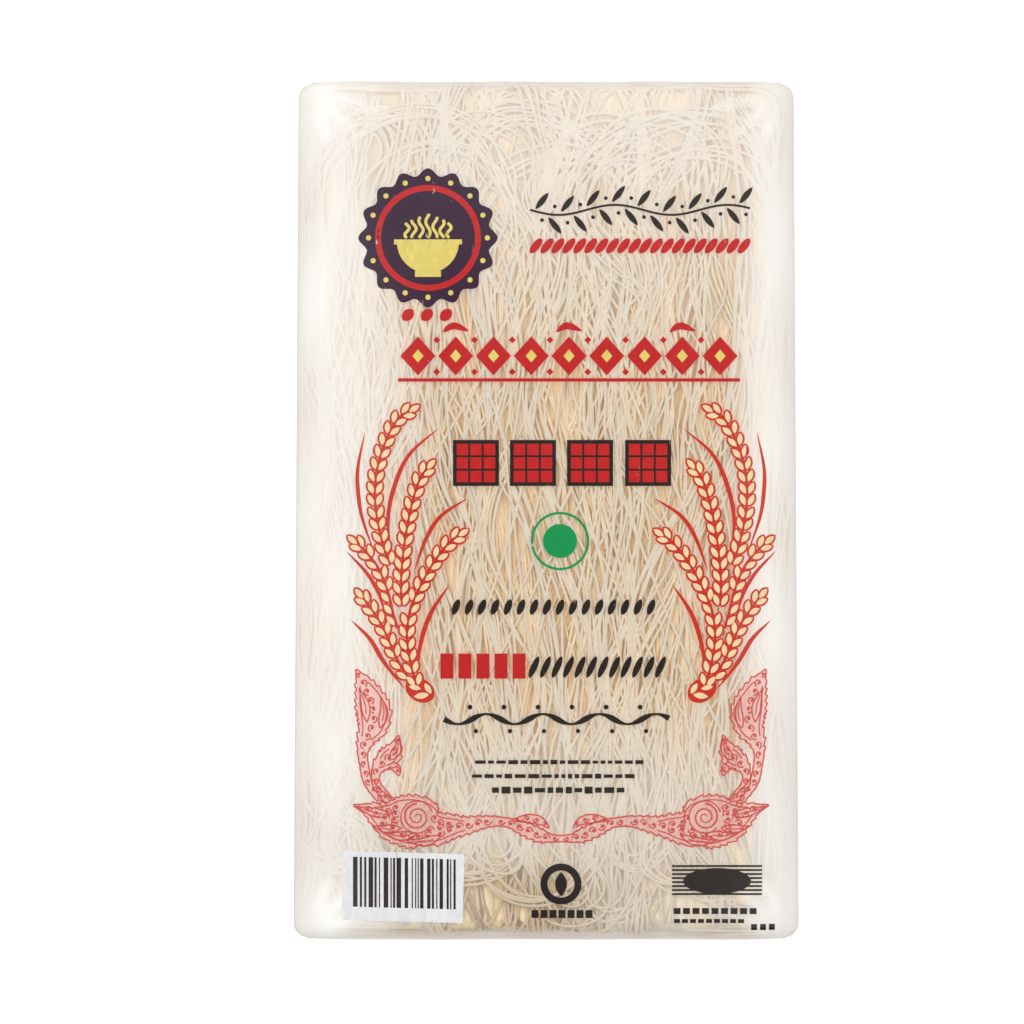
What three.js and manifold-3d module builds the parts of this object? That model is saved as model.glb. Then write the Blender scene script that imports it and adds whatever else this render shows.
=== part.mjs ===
// A block of dried rice vermicelli in a tight clear film wrap, lying flat with its shown face up.
// Millimetres, +Z up. The origin is the middle of the underside, and +Y points to the head end.
import * as THREE from "three";
import { mergeVertices } from "three/addons/utils/BufferGeometryUtils.js";
import Module from "manifold-3d";

// Wrapped block, outside sizes
const packWidth = 141;
const packLength = 239;
const packThickness = 36;
const sideRounding = 12; // long edges, where the film runs round the folded hank
const endRounding = 4; // end edges and plan corners, where the film is pulled square
const crown = 1; // rise of the shown face over its middle
const tailSpread = 0.7; // the tail end is this much wider on each side than the middle
const topSegments = 4; // facets across the shown face
const lengthSegments = 6; // facets along the block
const roundSegments = 4; // facets round each edge

// Noodle strands that press against the film
const strandDiameter = 0.9;
const strandSides = 5;
const runStep = 14; // distance between two rings of a long run
const runCount = 18; // long runs across the shown face
const runSway = 3.2; // how far a run wanders to each side
const runJitter = { least: -1, most: 1 }; // how far a run is off its even place
const runWaves = { least: 0.8, most: 1.9 }; // bends along a run
const runMargin = { least: 6, most: 14 }; // bare stretch past each end of a run
const sideRunCount = 2; // long runs on each side face
const sideRunGap = 5;
const sideRunSway = 1;
const turnStep = 4.5; // distance between two rings of a hairpin
const headTurnCount = 7; // hairpin turns at the head end
const tailTurnCount = 6; // hairpin turns at the tail end
const turnRadius = { least: 3.5, most: 9 };
const turnLeg = { least: 14, most: 46 };
const turnMargin = { least: 1, most: 12 }; // bare stretch past a turn
const turnSplay = { least: 0, most: 0.16 }; // how far the legs lean apart for each unit of length
const randomSeed = 20;
const vertexTolerance = 1e-4; // corners closer than this are one corner
const weldDistance = 0.03; // slivers thinner than this are closed up after joining

// Film folded over each end face
const foldThickness = 0.7; // the flap folded up last
const underFoldThickness = 0.35; // the flap folded down first
const foldHeight = 20;
const underFoldHeight = 18;
const foldSlope = 0.9; // how far a flap's sides lean in for each unit of its height

// The block of noodles inside the film, before the strands are laid on it
const coreHalfWidth = packWidth / 2 - tailSpread - strandDiameter / 2;
const coreHalfLength = packLength / 2 - foldThickness;
const coreTop = packThickness - crown - strandDiameter / 2;

// Places along the section's outline are measured from the middle of the top, positive to +X.
const flatTop = coreHalfWidth - sideRounding;
const roundLength = (Math.PI / 2) * sideRounding;
const sideMiddle = flatTop + roundLength + (coreTop - 2 * sideRounding) / 2;

// Seeded random numbers from 0 to 1, so that each build lays the same strands.
function seededRandom(seed) {
  let state = seed;
  return () => {
    state = (state + 0x6d2b79f5) | 0;
    let mixed = Math.imul(state ^ (state >>> 15), 1 | state);
    mixed = (mixed + Math.imul(mixed ^ (mixed >>> 7), 61 | mixed)) ^ mixed;
    return ((mixed ^ (mixed >>> 14)) >>> 0) / 4294967296;
  };
}

const random = seededRandom(randomSeed);
const within = ({ least, most }) => least + (most - least) * random();

// Swells the upper half into its crown and widens the block towards its tail.
function settle(point) {
  const across = Math.min(1, Math.abs(point.x) / coreHalfWidth);
  const along = Math.min(1, Math.abs(point.y) / coreHalfLength);
  const height = THREE.MathUtils.smoothstep(point.z, coreTop / 2, coreTop);
  point.z += crown * (1 - across ** 2) * (1 - along ** 2) * height;
  point.x *= 1 - (tailSpread / coreHalfWidth) * (point.y / coreHalfLength);
  return point;
}

// The point of the block's skin at a place on the section's outline and a distance along the block.
function onSkin(place, y) {
  const side = Math.sign(place) || 1;
  const reach = Math.abs(place);
  const pastFlat = reach - flatTop;
  const pastRound = pastFlat - roundLength;
  if (pastFlat <= 0) return settle(new THREE.Vector3(place, y, coreTop));
  const turn = Math.min(pastFlat, roundLength) / sideRounding;
  const x = flatTop + sideRounding * Math.sin(turn);
  const z = coreTop - sideRounding * (1 - Math.cos(turn)) - Math.max(0, pastRound);
  return settle(new THREE.Vector3(side * x, y, z));
}

// Rounded section of the block, with its shown face divided so that it can swell.
function blockSection() {
  const section = new THREE.Shape();
  section.moveTo(-flatTop, 0);
  section.lineTo(flatTop, 0);
  section.absarc(flatTop, sideRounding, sideRounding, -Math.PI / 2, 0);
  section.absarc(flatTop, coreTop - sideRounding, sideRounding, 0, Math.PI / 2);
  for (let i = 1; i < topSegments; i++) {
    section.lineTo(flatTop * (1 - (2 * i) / topSegments), coreTop);
  }
  section.absarc(-flatTop, coreTop - sideRounding, sideRounding, Math.PI / 2, Math.PI);
  section.absarc(-flatTop, sideRounding, sideRounding, Math.PI, 1.5 * Math.PI);
  return section;
}

// The section carried along the block, with rounded ends.
function blockGeometry() {
  const depth = 2 * (coreHalfLength - endRounding);
  const geometry = new THREE.ExtrudeGeometry(blockSection(), {
    depth,
    steps: lengthSegments,
    curveSegments: roundSegments,
    bevelThickness: endRounding,
    bevelSize: endRounding,
    bevelOffset: -endRounding,
    bevelSegments: roundSegments,
  });
  geometry.translate(0, 0, -depth / 2);
  geometry.rotateX(Math.PI / 2);
  const position = geometry.getAttribute("position");
  const point = new THREE.Vector3();
  for (let i = 0; i < position.count; i++) {
    settle(point.fromBufferAttribute(position, i));
    position.setXYZ(i, point.x, point.y, point.z);
  }
  return geometry;
}

// A strand along a list of skin points, sunk to half its diameter.
function strandGeometry(points, ringGap) {
  const section = new THREE.Shape();
  for (let i = 0; i < strandSides; i++) {
    const angle = (2 * Math.PI * i) / strandSides;
    const x = (strandDiameter / 2) * Math.cos(angle);
    const y = (strandDiameter / 2) * Math.sin(angle);
    if (i === 0) section.moveTo(x, y);
    else section.lineTo(x, y);
  }
  const path = new THREE.CatmullRomCurve3(points, false, "centripetal");
  const steps = Math.round(path.getLength() / ringGap);
  return new THREE.ExtrudeGeometry(section, { steps, extrudePath: path });
}

// A long run that wanders about one place on the outline from the tail to the head.
function longRun(place, sway) {
  const lean = within({ least: -sway, most: sway });
  const waves = within(runWaves);
  const phase = 2 * Math.PI * random();
  const tail = -coreHalfLength + within(runMargin);
  const head = coreHalfLength - within(runMargin);
  const steps = Math.round((head - tail) / runStep);
  const points = [];
  for (let i = 0; i <= steps; i++) {
    const t = i / steps;
    const drift = lean * (2 * t - 1) + sway * Math.sin(2 * Math.PI * waves * t + phase);
    points.push(onSkin(place + drift, tail + (head - tail) * t));
  }
  return strandGeometry(points, runStep);
}

// A hairpin: up one leg, round the turn near an end and back along the other leg.
function hairpin(place, end) {
  const radius = within(turnRadius);
  const turnCentre = coreHalfLength - endRounding - radius - within(turnMargin);
  const legs = [within(turnLeg), within(turnLeg)];
  const splay = within(turnSplay);
  const points = [];
  const legPoint = (side, back) => onSkin(place + side * (radius + splay * back), end * (turnCentre - back));
  const legSteps = legs.map((leg) => Math.ceil(leg / runStep));
  for (let i = legSteps[0]; i > 0; i--) {
    points.push(legPoint(-1, (legs[0] * i) / legSteps[0]));
  }
  const turnSteps = Math.ceil((Math.PI * radius) / turnStep);
  for (let i = 0; i <= turnSteps; i++) {
    const angle = Math.PI * (1 - i / turnSteps);
    points.push(onSkin(place + radius * Math.cos(angle), end * (turnCentre + radius * Math.sin(angle))));
  }
  for (let i = 1; i <= legSteps[1]; i++) {
    points.push(legPoint(1, (legs[1] * i) / legSteps[1]));
  }
  return strandGeometry(points, turnStep);
}

// A film flap on an end face, its wide edge along the face's upper (-1) or lower (+1) rim.
function endFlap(end, upwards, height, thickness) {
  const wide = flatTop;
  const narrow = flatTop - foldSlope * height;
  const flap = new THREE.Shape();
  flap.moveTo(-wide, 0);
  flap.lineTo(wide, 0);
  flap.lineTo(narrow, upwards * height);
  flap.lineTo(-narrow, upwards * height);
  const geometry = new THREE.ExtrudeGeometry(flap, { depth: 2 * thickness, bevelEnabled: false });
  const rim = upwards > 0 ? endRounding : coreTop - endRounding;
  geometry.translate(0, rim, -thickness);
  geometry.rotateX(Math.PI / 2);
  geometry.translate(0, end * coreHalfLength, 0);
  return geometry;
}

// Everything that is laid on the block.
function layings() {
  const laid = [];
  for (let i = 0; i < runCount; i++) {
    const place = (2 * flatTop * (i + 0.5)) / runCount - flatTop + within(runJitter);
    laid.push(longRun(place, runSway));
  }
  for (const side of [-1, 1]) {
    for (let i = 0; i < sideRunCount; i++) {
      const place = side * (sideMiddle + (i - (sideRunCount - 1) / 2) * sideRunGap);
      laid.push(longRun(place, sideRunSway));
    }
  }
  for (const [end, count] of [[1, headTurnCount], [-1, tailTurnCount]]) {
    for (let i = 0; i < count; i++) {
      const reach = flatTop - turnRadius.most;
      laid.push(hairpin((2 * reach * (i + 0.5)) / count - reach, end));
    }
    laid.push(endFlap(end, -1, underFoldHeight, underFoldThickness));
    laid.push(endFlap(end, 1, foldHeight, foldThickness));
  }
  return laid;
}

const wasm = await Module();
wasm.setup();

// A closed three.js geometry as a solid that can be joined.
function solidOf(geometry) {
  const bare = geometry.index ? geometry.toNonIndexed() : geometry.clone();
  bare.deleteAttribute("normal");
  bare.deleteAttribute("uv");
  const merged = mergeVertices(bare, vertexTolerance);
  return new wasm.Manifold(
    new wasm.Mesh({
      numProp: 3,
      vertProperties: merged.getAttribute("position").array,
      triVerts: new Uint32Array(merged.index.array),
    }),
  );
}

// The largest body of the joined solid, so that no loose scrap or sealed hollow is left.
function fused(geometries) {
  const joined = wasm.Manifold.union(geometries.map(solidOf));
  const bodies = joined.decompose();
  const largest = bodies.reduce((a, b) => (b.volume() > a.volume() ? b : a));
  const mesh = largest.simplify(weldDistance).getMesh();
  const geometry = new THREE.BufferGeometry();
  geometry.setAttribute("position", new THREE.BufferAttribute(mesh.vertProperties, 3));
  geometry.setIndex(new THREE.BufferAttribute(mesh.triVerts, 1));
  geometry.computeVertexNormals();
  return geometry;
}

const vermicelli = new THREE.MeshStandardMaterial({ color: 0xe6d8bd, roughness: 0.45, metalness: 0 });
const wrappedBlock = new THREE.Mesh(fused([blockGeometry(), ...layings()]), vermicelli);
wrappedBlock.name = "wrapped_vermicelli_block";

const pack = new THREE.Group();
pack.add(wrappedBlock);

export default pack;
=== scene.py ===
# Looks of a block of dried rice vermicelli in a clear printed film wrap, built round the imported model.
# Metres, +Z up. The shown face is up, and +Y is the head end.
import bpy
import numpy as np
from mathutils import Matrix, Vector


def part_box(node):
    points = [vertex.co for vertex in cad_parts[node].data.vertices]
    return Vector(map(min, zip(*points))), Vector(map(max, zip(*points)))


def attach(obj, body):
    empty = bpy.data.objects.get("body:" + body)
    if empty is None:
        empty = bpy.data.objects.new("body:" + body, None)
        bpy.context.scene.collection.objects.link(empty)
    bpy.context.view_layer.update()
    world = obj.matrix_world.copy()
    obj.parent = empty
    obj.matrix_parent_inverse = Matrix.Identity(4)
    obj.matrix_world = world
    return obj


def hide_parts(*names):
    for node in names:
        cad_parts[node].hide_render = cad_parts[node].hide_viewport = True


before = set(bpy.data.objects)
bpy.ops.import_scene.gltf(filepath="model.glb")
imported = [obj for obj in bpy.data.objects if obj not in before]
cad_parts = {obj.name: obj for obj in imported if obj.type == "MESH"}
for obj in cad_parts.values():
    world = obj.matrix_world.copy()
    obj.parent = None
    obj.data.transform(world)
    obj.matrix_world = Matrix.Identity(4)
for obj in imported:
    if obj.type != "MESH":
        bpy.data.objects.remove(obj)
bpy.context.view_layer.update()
print("frame loaded")

blockNode = "wrapped_vermicelli_block"
blockLow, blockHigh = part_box(blockNode)

# The wrap's own form. Outside sizes come from the frame, roundings are the part's own.
wrap = dict(
    sideRounding=0.012,   # long edges
    endRounding=0.004,    # end edges and plan corners
    crown=0.001,          # rise of the shown face over its middle
    tailSpread=0.0007,    # the tail end is wider by this on each side
    foldRoom=0.0006,      # the end faces stand back by this for the film's folds
)
wrap["halfWidth"] = (blockHigh.x - blockLow.x) / 2 - wrap["tailSpread"]
wrap["halfLength"] = (blockHigh.y - blockLow.y) / 2 - wrap["foldRoom"]
wrap["rimTop"] = blockHigh.z - wrap["crown"]
wrap["flatX"] = wrap["halfWidth"] - wrap["sideRounding"]
wrap["flatY"] = wrap["halfLength"] - wrap["endRounding"]


# Eases from 0 at start to 1 at end: 3 t squared less 2 t cubed.
def ease(value, start, end):
    t = np.clip((value - start) / (end - start), 0, 1)
    return t * t * (3 - 2 * t)


# Vectors divided by their own length.
def unit(vectors):
    return vectors / np.maximum(np.linalg.norm(vectors, axis=-1, keepdims=True), 1e-12)


# How many times as wide as its middle the block is at a distance along it: an even slope to the tail.
def widening(y):
    return 1 - wrap["tailSpread"] / wrap["halfWidth"] * y / wrap["halfLength"]


# Swells the upper half into its crown, (1 - across squared) times (1 - along squared), and widens the block
# towards its tail, as the part's source does.
def settle(x, y, z, crown=wrap["crown"]):
    across = np.clip(np.abs(x) / wrap["halfWidth"], 0, 1)
    along = np.clip(np.abs(y) / wrap["halfLength"], 0, 1)
    lifted = z + crown * (1 - across**2) * (1 - along**2) * ease(2 * z / wrap["rimTop"], 1, 2)
    return np.stack(np.broadcast_arrays(x * widening(y), y, lifted), -1)


# Rolls an unrolled reach round the block: flat, a quarter circle, straight down, a second quarter circle
# and back underneath. Gives the distance out and the drop for a layer that lies depth under the skin.
def rollOver(reach, flat, rounding, depth, leastRadius=0.0002):
    arc = rounding * np.pi / 2
    straight = wrap["rimTop"] - 2 * rounding
    radius = np.maximum(rounding - depth, leastRadius)
    over = np.clip((reach - flat) / rounding, 0, np.pi / 2)
    down = np.clip(reach - flat - arc, 0, straight)
    under = np.clip((reach - flat - arc - straight) / rounding, 0, np.pi / 2)
    back = np.maximum(reach - flat - 2 * arc - straight, 0)
    out = np.minimum(reach, flat) + radius * (np.sin(over) + np.cos(under) - 1) - back
    drop = rounding - radius * (np.cos(over) - np.sin(under)) + down
    return out, np.where(over <= 0, depth, drop)


# A point under the wrap from its distances across and along the unrolled face and its depth.
# Past the end edges it is held inside the circle of the plan corner.
def underWrap(across, along, depth, endRounding, crown=wrap["crown"]):
    outX, dropX = rollOver(np.abs(across), wrap["flatX"], wrap["sideRounding"], depth)
    outY, dropY = rollOver(np.abs(along), wrap["halfLength"] - endRounding, endRounding, depth)
    past = np.clip(outY - wrap["halfLength"] + endRounding + depth, 0, endRounding)
    cornerX = wrap["halfWidth"] - depth - endRounding + np.sqrt(endRounding**2 - past**2)
    x = np.sign(across) * np.minimum(outX, cornerX)
    return settle(x, np.sign(along) * outY, wrap["rimTop"] - dropX - dropY + depth, crown)


# Smooth noise of about unit size: a sum of sine waves with random slopes and phases.
def smoothNoise(u, v, lengthU, lengthV, rng, waves=8, stretches=(0.6, 1.5)):
    total = 0
    for wave in range(waves):
        angle = rng.uniform(0, 2 * np.pi)
        stretch = rng.uniform(*stretches)
        slope = u * np.cos(angle) / lengthU + v * np.sin(angle) / lengthV
        total = total + np.sin(2 * np.pi * stretch * slope + rng.uniform(0, 2 * np.pi))
    return total / np.sqrt(waves / 2)


# Wander of strands: each group its own sum of sine waves along the strand.
def sharedWander(group, along, length, rng, waves=4, stretches=(0.5, 1.6)):
    groups = group.max() + 1
    phase = rng.uniform(0, 2 * np.pi, (waves, groups, 1))[:, group]
    stretch = rng.uniform(*stretches, (waves, groups, 1))[:, group]
    return np.sin(2 * np.pi * stretch * along / length + phase).sum(0) / np.sqrt(waves / 2)


# The same with each strand a group of its own.
def ownWander(count, along, length, rng):
    return sharedWander(np.arange(count), along, length, rng)


# Puts points and faces into a new mesh object. faces is a list of index arrays, one row for each face.
def meshObject(name, points, faces, smooth=True):
    mesh = bpy.data.meshes.new(name)
    corners = np.concatenate([f.ravel() for f in faces]).astype(np.int32)
    sizes = np.concatenate([np.full(len(f), f.shape[1]) for f in faces])
    starts = np.concatenate([[0], np.cumsum(sizes)[:-1]]).astype(np.int32)
    mesh.vertices.add(len(points))
    mesh.vertices.foreach_set("co", points.astype(np.float32).ravel())
    mesh.loops.add(len(corners))
    mesh.loops.foreach_set("vertex_index", corners)
    mesh.polygons.add(len(sizes))
    mesh.polygons.foreach_set("loop_start", starts)
    mesh.polygons.foreach_set("use_smooth", np.full(len(sizes), smooth))
    mesh.update(calc_edges=True)
    mesh.validate()
    made = bpy.data.objects.new(name, mesh)
    bpy.context.scene.collection.objects.link(made)
    return made


# The quads of a grid of point numbers.
def gridQuads(index):
    return np.stack([index[:-1, :-1], index[1:, :-1], index[1:, 1:], index[:-1, 1:]], -1).reshape(-1, 4)


# A value for each point, which materials read by its name.
def pointValues(made, name, values):
    attribute = made.data.attributes.new(name, "FLOAT", "POINT")
    attribute.data.foreach_set("value", values.astype(np.float32).ravel())


noodle = dict(
    diameter=(0.00076, 0.00098),
    swell=(0.06, 0.03),              # how far a strand's thickness changes, and over what length
    sides=5,
    stations=76,                     # rings along the face
    edgeStations=6,                  # rings round an end edge, and as many down an end face
    endRounding=0.0060,
    overEnd=0.019,                   # how far strands run down the end faces
    lengths=(0.94, 1.0),             # strands end at this share of the way
    sideEdge=0.004,                  # strands that come this near to the sides count as side strands
    sideStop=0.003,                  # side strands stop this far short of the end faces
    shallowest=0.00078,              # least depth of a strand's middle under the wrap
    lowest=0.0012,                   # least height of a strand's middle over the underside
    lockSize=5,                      # strands that run side by side
    lockJitter=0.22,                 # how far a lock is off its even place, in lock gaps
    strandGap=0.00096,               # distance between the strands of a lock
    strandJitter=0.28,               # how far a strand is off its even place, in strand gaps
    opening=(0.42, 0.085),           # how far a lock opens and closes, and over what length
    openingLimits=(0.5, 2.4),
    slant=0.06,                      # how far a lock leans off straight
    sweep=(0.0050, 0.036, 0.190),    # size, width and length of the slow bends that all locks share
    sweepWaves=5,
    lockBend=(0.0030, 0.115),        # size and length of a lock's own bends
    wander=(0.0006, 0.060),          # the same for a strand's own bends
    shiver=(0.00014, 0.030),         # and for its finest bends
    hollow=(0.0006, 0.016, 0.055),   # size, width and length of the dips between locks
    hollowLimit=1.5,
    lockRise=(0.00018, 0.06),        # how far a lock rises and sinks, and over what length
    strandRise=(0.00014, 0.04),      # the same for a strand
    tailDive=(0.0009, 0.086, 0.110), # how far strands sink near the tail, from where to where
    tone=0.85,                       # pale at 1, tan at 0.3, dull at 0
    toneSpread=0.10,
    tailShadeTan=(0.15, 0.070, 0.112),    # painted shade: how much tanner the strands are made at the tail, from where to where
    tailPaintedShade=(0.22, 0.050, 0.114),  # painted shade: how much darker the strands are made at the tail, from where to where
)

# Deeper layers have lower tones, tanner and duller, as painted shade of the gaps between strands.
noodleLayers = [
    dict(name="noodlesOuter", reach=0.087, lockGap=0.0136, depth=0.00078, seed=11, tone=0.95, slant=0.10),
    dict(name="noodlesSecond", reach=0.087, lockGap=0.0116, depth=0.00130, seed=12, tone=0.74, slant=0.08),
    dict(name="noodlesThird", reach=0.086, lockGap=0.0086, depth=0.00180, sides=4, seed=13, tone=0.56,
         tailShadeTan=(0.42, 0.070, 0.112)),
    dict(name="noodlesDeep", reach=0.068, lockGap=0.0046, depth=0.00225, sides=4, seed=14, tone=0.36,
         tailShadeTan=(0.50, 0.070, 0.112)),
    dict(name="noodlesBack", reach=0.080, lockGap=0.0050, depth=0.00095, sides=4, seed=15, upsideDown=True),
    dict(name="noodlesBackDeep", reach=0.080, lockGap=0.0042, depth=0.00180, sides=4, seed=16,
         tone=0.5, upsideDown=True),
]


# Round strands along many paths at once. A ring is the path's point plus radius times
# (cos a * outward + sin a * sideways), with sideways square to the path and to outward.
def strandMesh(name, paths, outward, radius, sides, tone):
    count, steps = paths.shape[:2]
    direction = unit(np.gradient(paths, axis=1))
    sideways = unit(np.cross(direction, outward))
    upright = np.cross(sideways, direction)
    angle = 2 * np.pi * np.arange(sides) / sides
    arms = np.cos(angle)[:, None] * upright[:, :, None, :]
    arms = arms + np.sin(angle)[:, None] * sideways[:, :, None, :]
    points = paths[:, :, None, :] + radius[:, :, None, None] * arms
    index = np.arange(count * steps * sides).reshape(count, steps, sides)
    turned = np.roll(index, -1, axis=2)
    quads = np.stack([index[:, :-1], turned[:, :-1], turned[:, 1:], index[:, 1:]], -1).reshape(-1, 4)
    made = meshObject(name, points.reshape(-1, 3), [quads, index[:, 0, ::-1], index[:, -1]])
    # Painted shade: the strands are darkened towards the tail.
    darker, start, full = noodle["tailPaintedShade"]
    shade = 1 - darker * ease(-paths[..., 1], start, full)
    pointValues(made, "strandTone", np.broadcast_to(tone[:, :, None], index.shape))
    pointValues(made, "strandShade", np.broadcast_to(shade[:, :, None], index.shape))
    return made


# Strands from unrolled places: lays them under the wrap, and finds which way is out from points a little
# less deep. Strands of the back are laid like the others and then turned over.
def laidStrands(name, across, along, depth, look, rng, lift=0.0001):
    count = across.shape[0]
    upsideDown = look.get("upsideDown", False)
    depth = np.maximum(depth, look["shallowest"])
    crown = 0 if upsideDown else wrap["crown"]
    paths = underWrap(across, along, depth, look["endRounding"], crown)
    outer = underWrap(across, along, depth - lift, look["endRounding"], crown)
    outward = unit(outer - paths)
    paths[..., 2] = np.maximum(paths[..., 2], look["lowest"])
    if upsideDown:
        flip = np.array([1, 1, -1])
        paths = paths * flip + np.array([0, 0, wrap["rimTop"]])
        outward = outward * flip
    swell, swellLength = look["swell"]
    tanner, start, full = look["tailShadeTan"]
    size = rng.uniform(*look["diameter"], (count, 1)) / 2
    radius = size * (1 + swell * ownWander(count, along, swellLength, rng))
    # The strands are made tanner towards the tail as painted shade.
    tone = rng.normal(look["tone"], look["toneSpread"], (count, 1)) - tanner * ease(-along, start, full)
    return strandMesh(name, paths, outward, radius, look["sides"], np.clip(tone, 0, 1))


# Stations along a strand: even over the face, closer round the end edges, and down the end faces.
def lengthStations(look):
    edge = wrap["halfLength"] - look["endRounding"]
    arc = look["endRounding"] * np.pi / 2
    middle = np.linspace(-edge, edge, look["stations"])
    rounding = edge + np.linspace(0, arc, look["edgeStations"])[1:]
    face = edge + arc + np.linspace(0, look["overEnd"], look["edgeStations"])[1:]
    past = np.concatenate([rounding, face])
    return np.concatenate([-past[::-1], middle, past])


# Places of strands across the face: the lock's place, lean and bends, and the strand's rank in the lock.
def bent(place, lock, along, look, rng):
    count = len(lock)
    sweep, sweepWidth, sweepLength = look["sweep"]
    rank = np.arange(count) % look["lockSize"] - (look["lockSize"] - 1) / 2
    aside = look["strandGap"] * (rank + rng.normal(0, look["strandJitter"], count))[:, None]
    opening = 1 + look["opening"][0] * sharedWander(lock, along, look["opening"][1], rng)
    across = place + along * rng.normal(0, look["slant"], lock[-1] + 1)[lock][:, None]
    across = across + sweep * smoothNoise(place, along, sweepWidth, sweepLength, rng, look["sweepWaves"])
    across = across + look["lockBend"][0] * sharedWander(lock, along, look["lockBend"][1], rng)
    across = across + aside * np.clip(opening, *look["openingLimits"])
    across = across + look["wander"][0] * ownWander(count, along, look["wander"][1], rng)
    return across + look["shiver"][0] * ownWander(count, along, look["shiver"][1], rng)


# One layer of long strands, in locks. The strands of a lock lie side by side, share a lean and slow bends,
# and draw together and open along the way. Each strand adds fine bends of its own.
def longLayer(layer):
    rng = np.random.default_rng(layer["seed"])
    look = dict(noodle, **layer)
    locks = int(2 * look["reach"] / look["lockGap"])
    lock = np.repeat(np.arange(locks), look["lockSize"])
    count = len(lock)
    along = lengthStations(look)[None, :] * rng.uniform(*look["lengths"], (count, 1))
    place = ((lock + 0.5) / locks * 2 - 1) * look["reach"]
    place = (place + rng.normal(0, look["lockJitter"] * look["lockGap"], locks)[lock])[:, None]
    across = bent(place, lock, along, look, rng)
    edge = look["sideEdge"]
    onSide = np.clip((np.abs(across).max(1, keepdims=True) - wrap["flatX"] + edge) / edge, 0, 1)
    stop = (wrap["halfLength"] - look["sideStop"]) / np.abs(along).max(1, keepdims=True)
    along = along * (1 - onSide * (1 - stop))
    hollow, hollowWidth, hollowLength = look["hollow"]
    dip = 0.5 + 0.5 * smoothNoise(across, along, hollowWidth, hollowLength, rng)
    dive, start, full = look["tailDive"]
    depth = look["depth"] + hollow * np.clip(dip, 0, look["hollowLimit"]) + dive * ease(-along, start, full)
    depth = depth + look["lockRise"][0] * sharedWander(lock, along, look["lockRise"][1], rng)
    depth = depth + look["strandRise"][0] * ownWander(count, along, look["strandRise"][1], rng)
    return laidStrands(look["name"], across, along, depth, look, rng)


strays = dict(
    seed=21,
    count=46,
    length=(0.08, 0.21),
    lean=(0.10, 0.50),
    bow=0.55,                   # how far the heading turns along a strand
    acrossPlaces=(-0.055, 0.055),
    alongPlaces=(-0.085, 0.095),
    overEnd=0.006,
    shiverLength=0.02,
    depth=0.00068,
    sink=(0.0003, 0.05, 3),     # how far strands sink on their way, over what length, and the most of it
    endDive=(0.0020, 6),        # how far the ends sink under the other strands, and how late
    steps=56,
)


# Strands that cross the bundles: a slanted line whose heading turns slowly by a bow.
def strayStrands():
    rng = np.random.default_rng(strays["seed"])
    count = strays["count"]
    run = np.linspace(-0.5, 0.5, strays["steps"])[None, :]
    length = rng.uniform(*strays["length"], (count, 1))
    lean = rng.uniform(*strays["lean"], (count, 1)) * rng.choice([-1, 1], (count, 1))
    heading = lean + rng.normal(0, strays["bow"], (count, 1)) * run
    step = length / (strays["steps"] - 1)
    across = np.cumsum(np.sin(heading), 1) * step
    along = np.cumsum(np.cos(heading), 1) * step
    across = across - across.mean(1, keepdims=True) + rng.uniform(*strays["acrossPlaces"], (count, 1))
    along = along - along.mean(1, keepdims=True) + rng.uniform(*strays["alongPlaces"], (count, 1))
    limit = wrap["halfLength"] + strays["overEnd"]
    along = along - np.maximum(along.max(1, keepdims=True) - limit, 0)
    along = along + np.maximum(-limit - along.min(1, keepdims=True), 0)
    across = across + noodle["shiver"][0] * ownWander(count, along, strays["shiverLength"], rng)
    sink, sinkLength, most = strays["sink"]
    depth = strays["depth"] + sink * (1 + ownWander(count, along, sinkLength, rng)).clip(0, most)
    dive, power = strays["endDive"]
    depth = depth + dive * (2 * run) ** power
    return laidStrands("noodlesStray", across, along, depth, noodle, rng)


hairpins = dict(
    seed=31,
    locks=(14, 13),             # head end, tail end
    lockSize=5,
    strandGap=0.00125,
    strandJitter=0.85,          # how far a strand is off its even place, in strand gaps
    radius=((0.010, 0.032), (0.006, 0.018)),
    radiusBias=1.3,             # over 1, small turns are commoner
    leg=((0.045, 0.12), (0.03, 0.09)),
    legOdds=0.018,              # how far the legs of a lock differ
    splay=0.10,
    tilt=(0.50, 0.80),          # how far the turns lean over
    tiltJitter=0.12,            # and how far a strand's lean is off its lock's
    tiltFade=0.03,              # length of leg over which the lean dies away
    spread=0.062,               # how far off the middle the turns stand
    widest=0.074,               # and how far off it their strands reach
    inset=(0.0, 0.016),         # distance of a turn's top from the end edge
    edge=0.003,                 # and what is added to it
    lockBend=(0.0014, 0.05),    # size and length of a lock's bends
    strandBend=(0.0015, 0.045), # the same for a strand's own
    depth=(0.00078, 0.0015),
    strandRise=(0.0002, 0.04),  # how far a strand rises and sinks, and over what length
    endDive=(0.0018, 8),        # how far the legs' ends sink under the other strands, and how late
    steps=64,
    crowding=0.45,              # how far stations are drawn together at the turn
)


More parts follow.
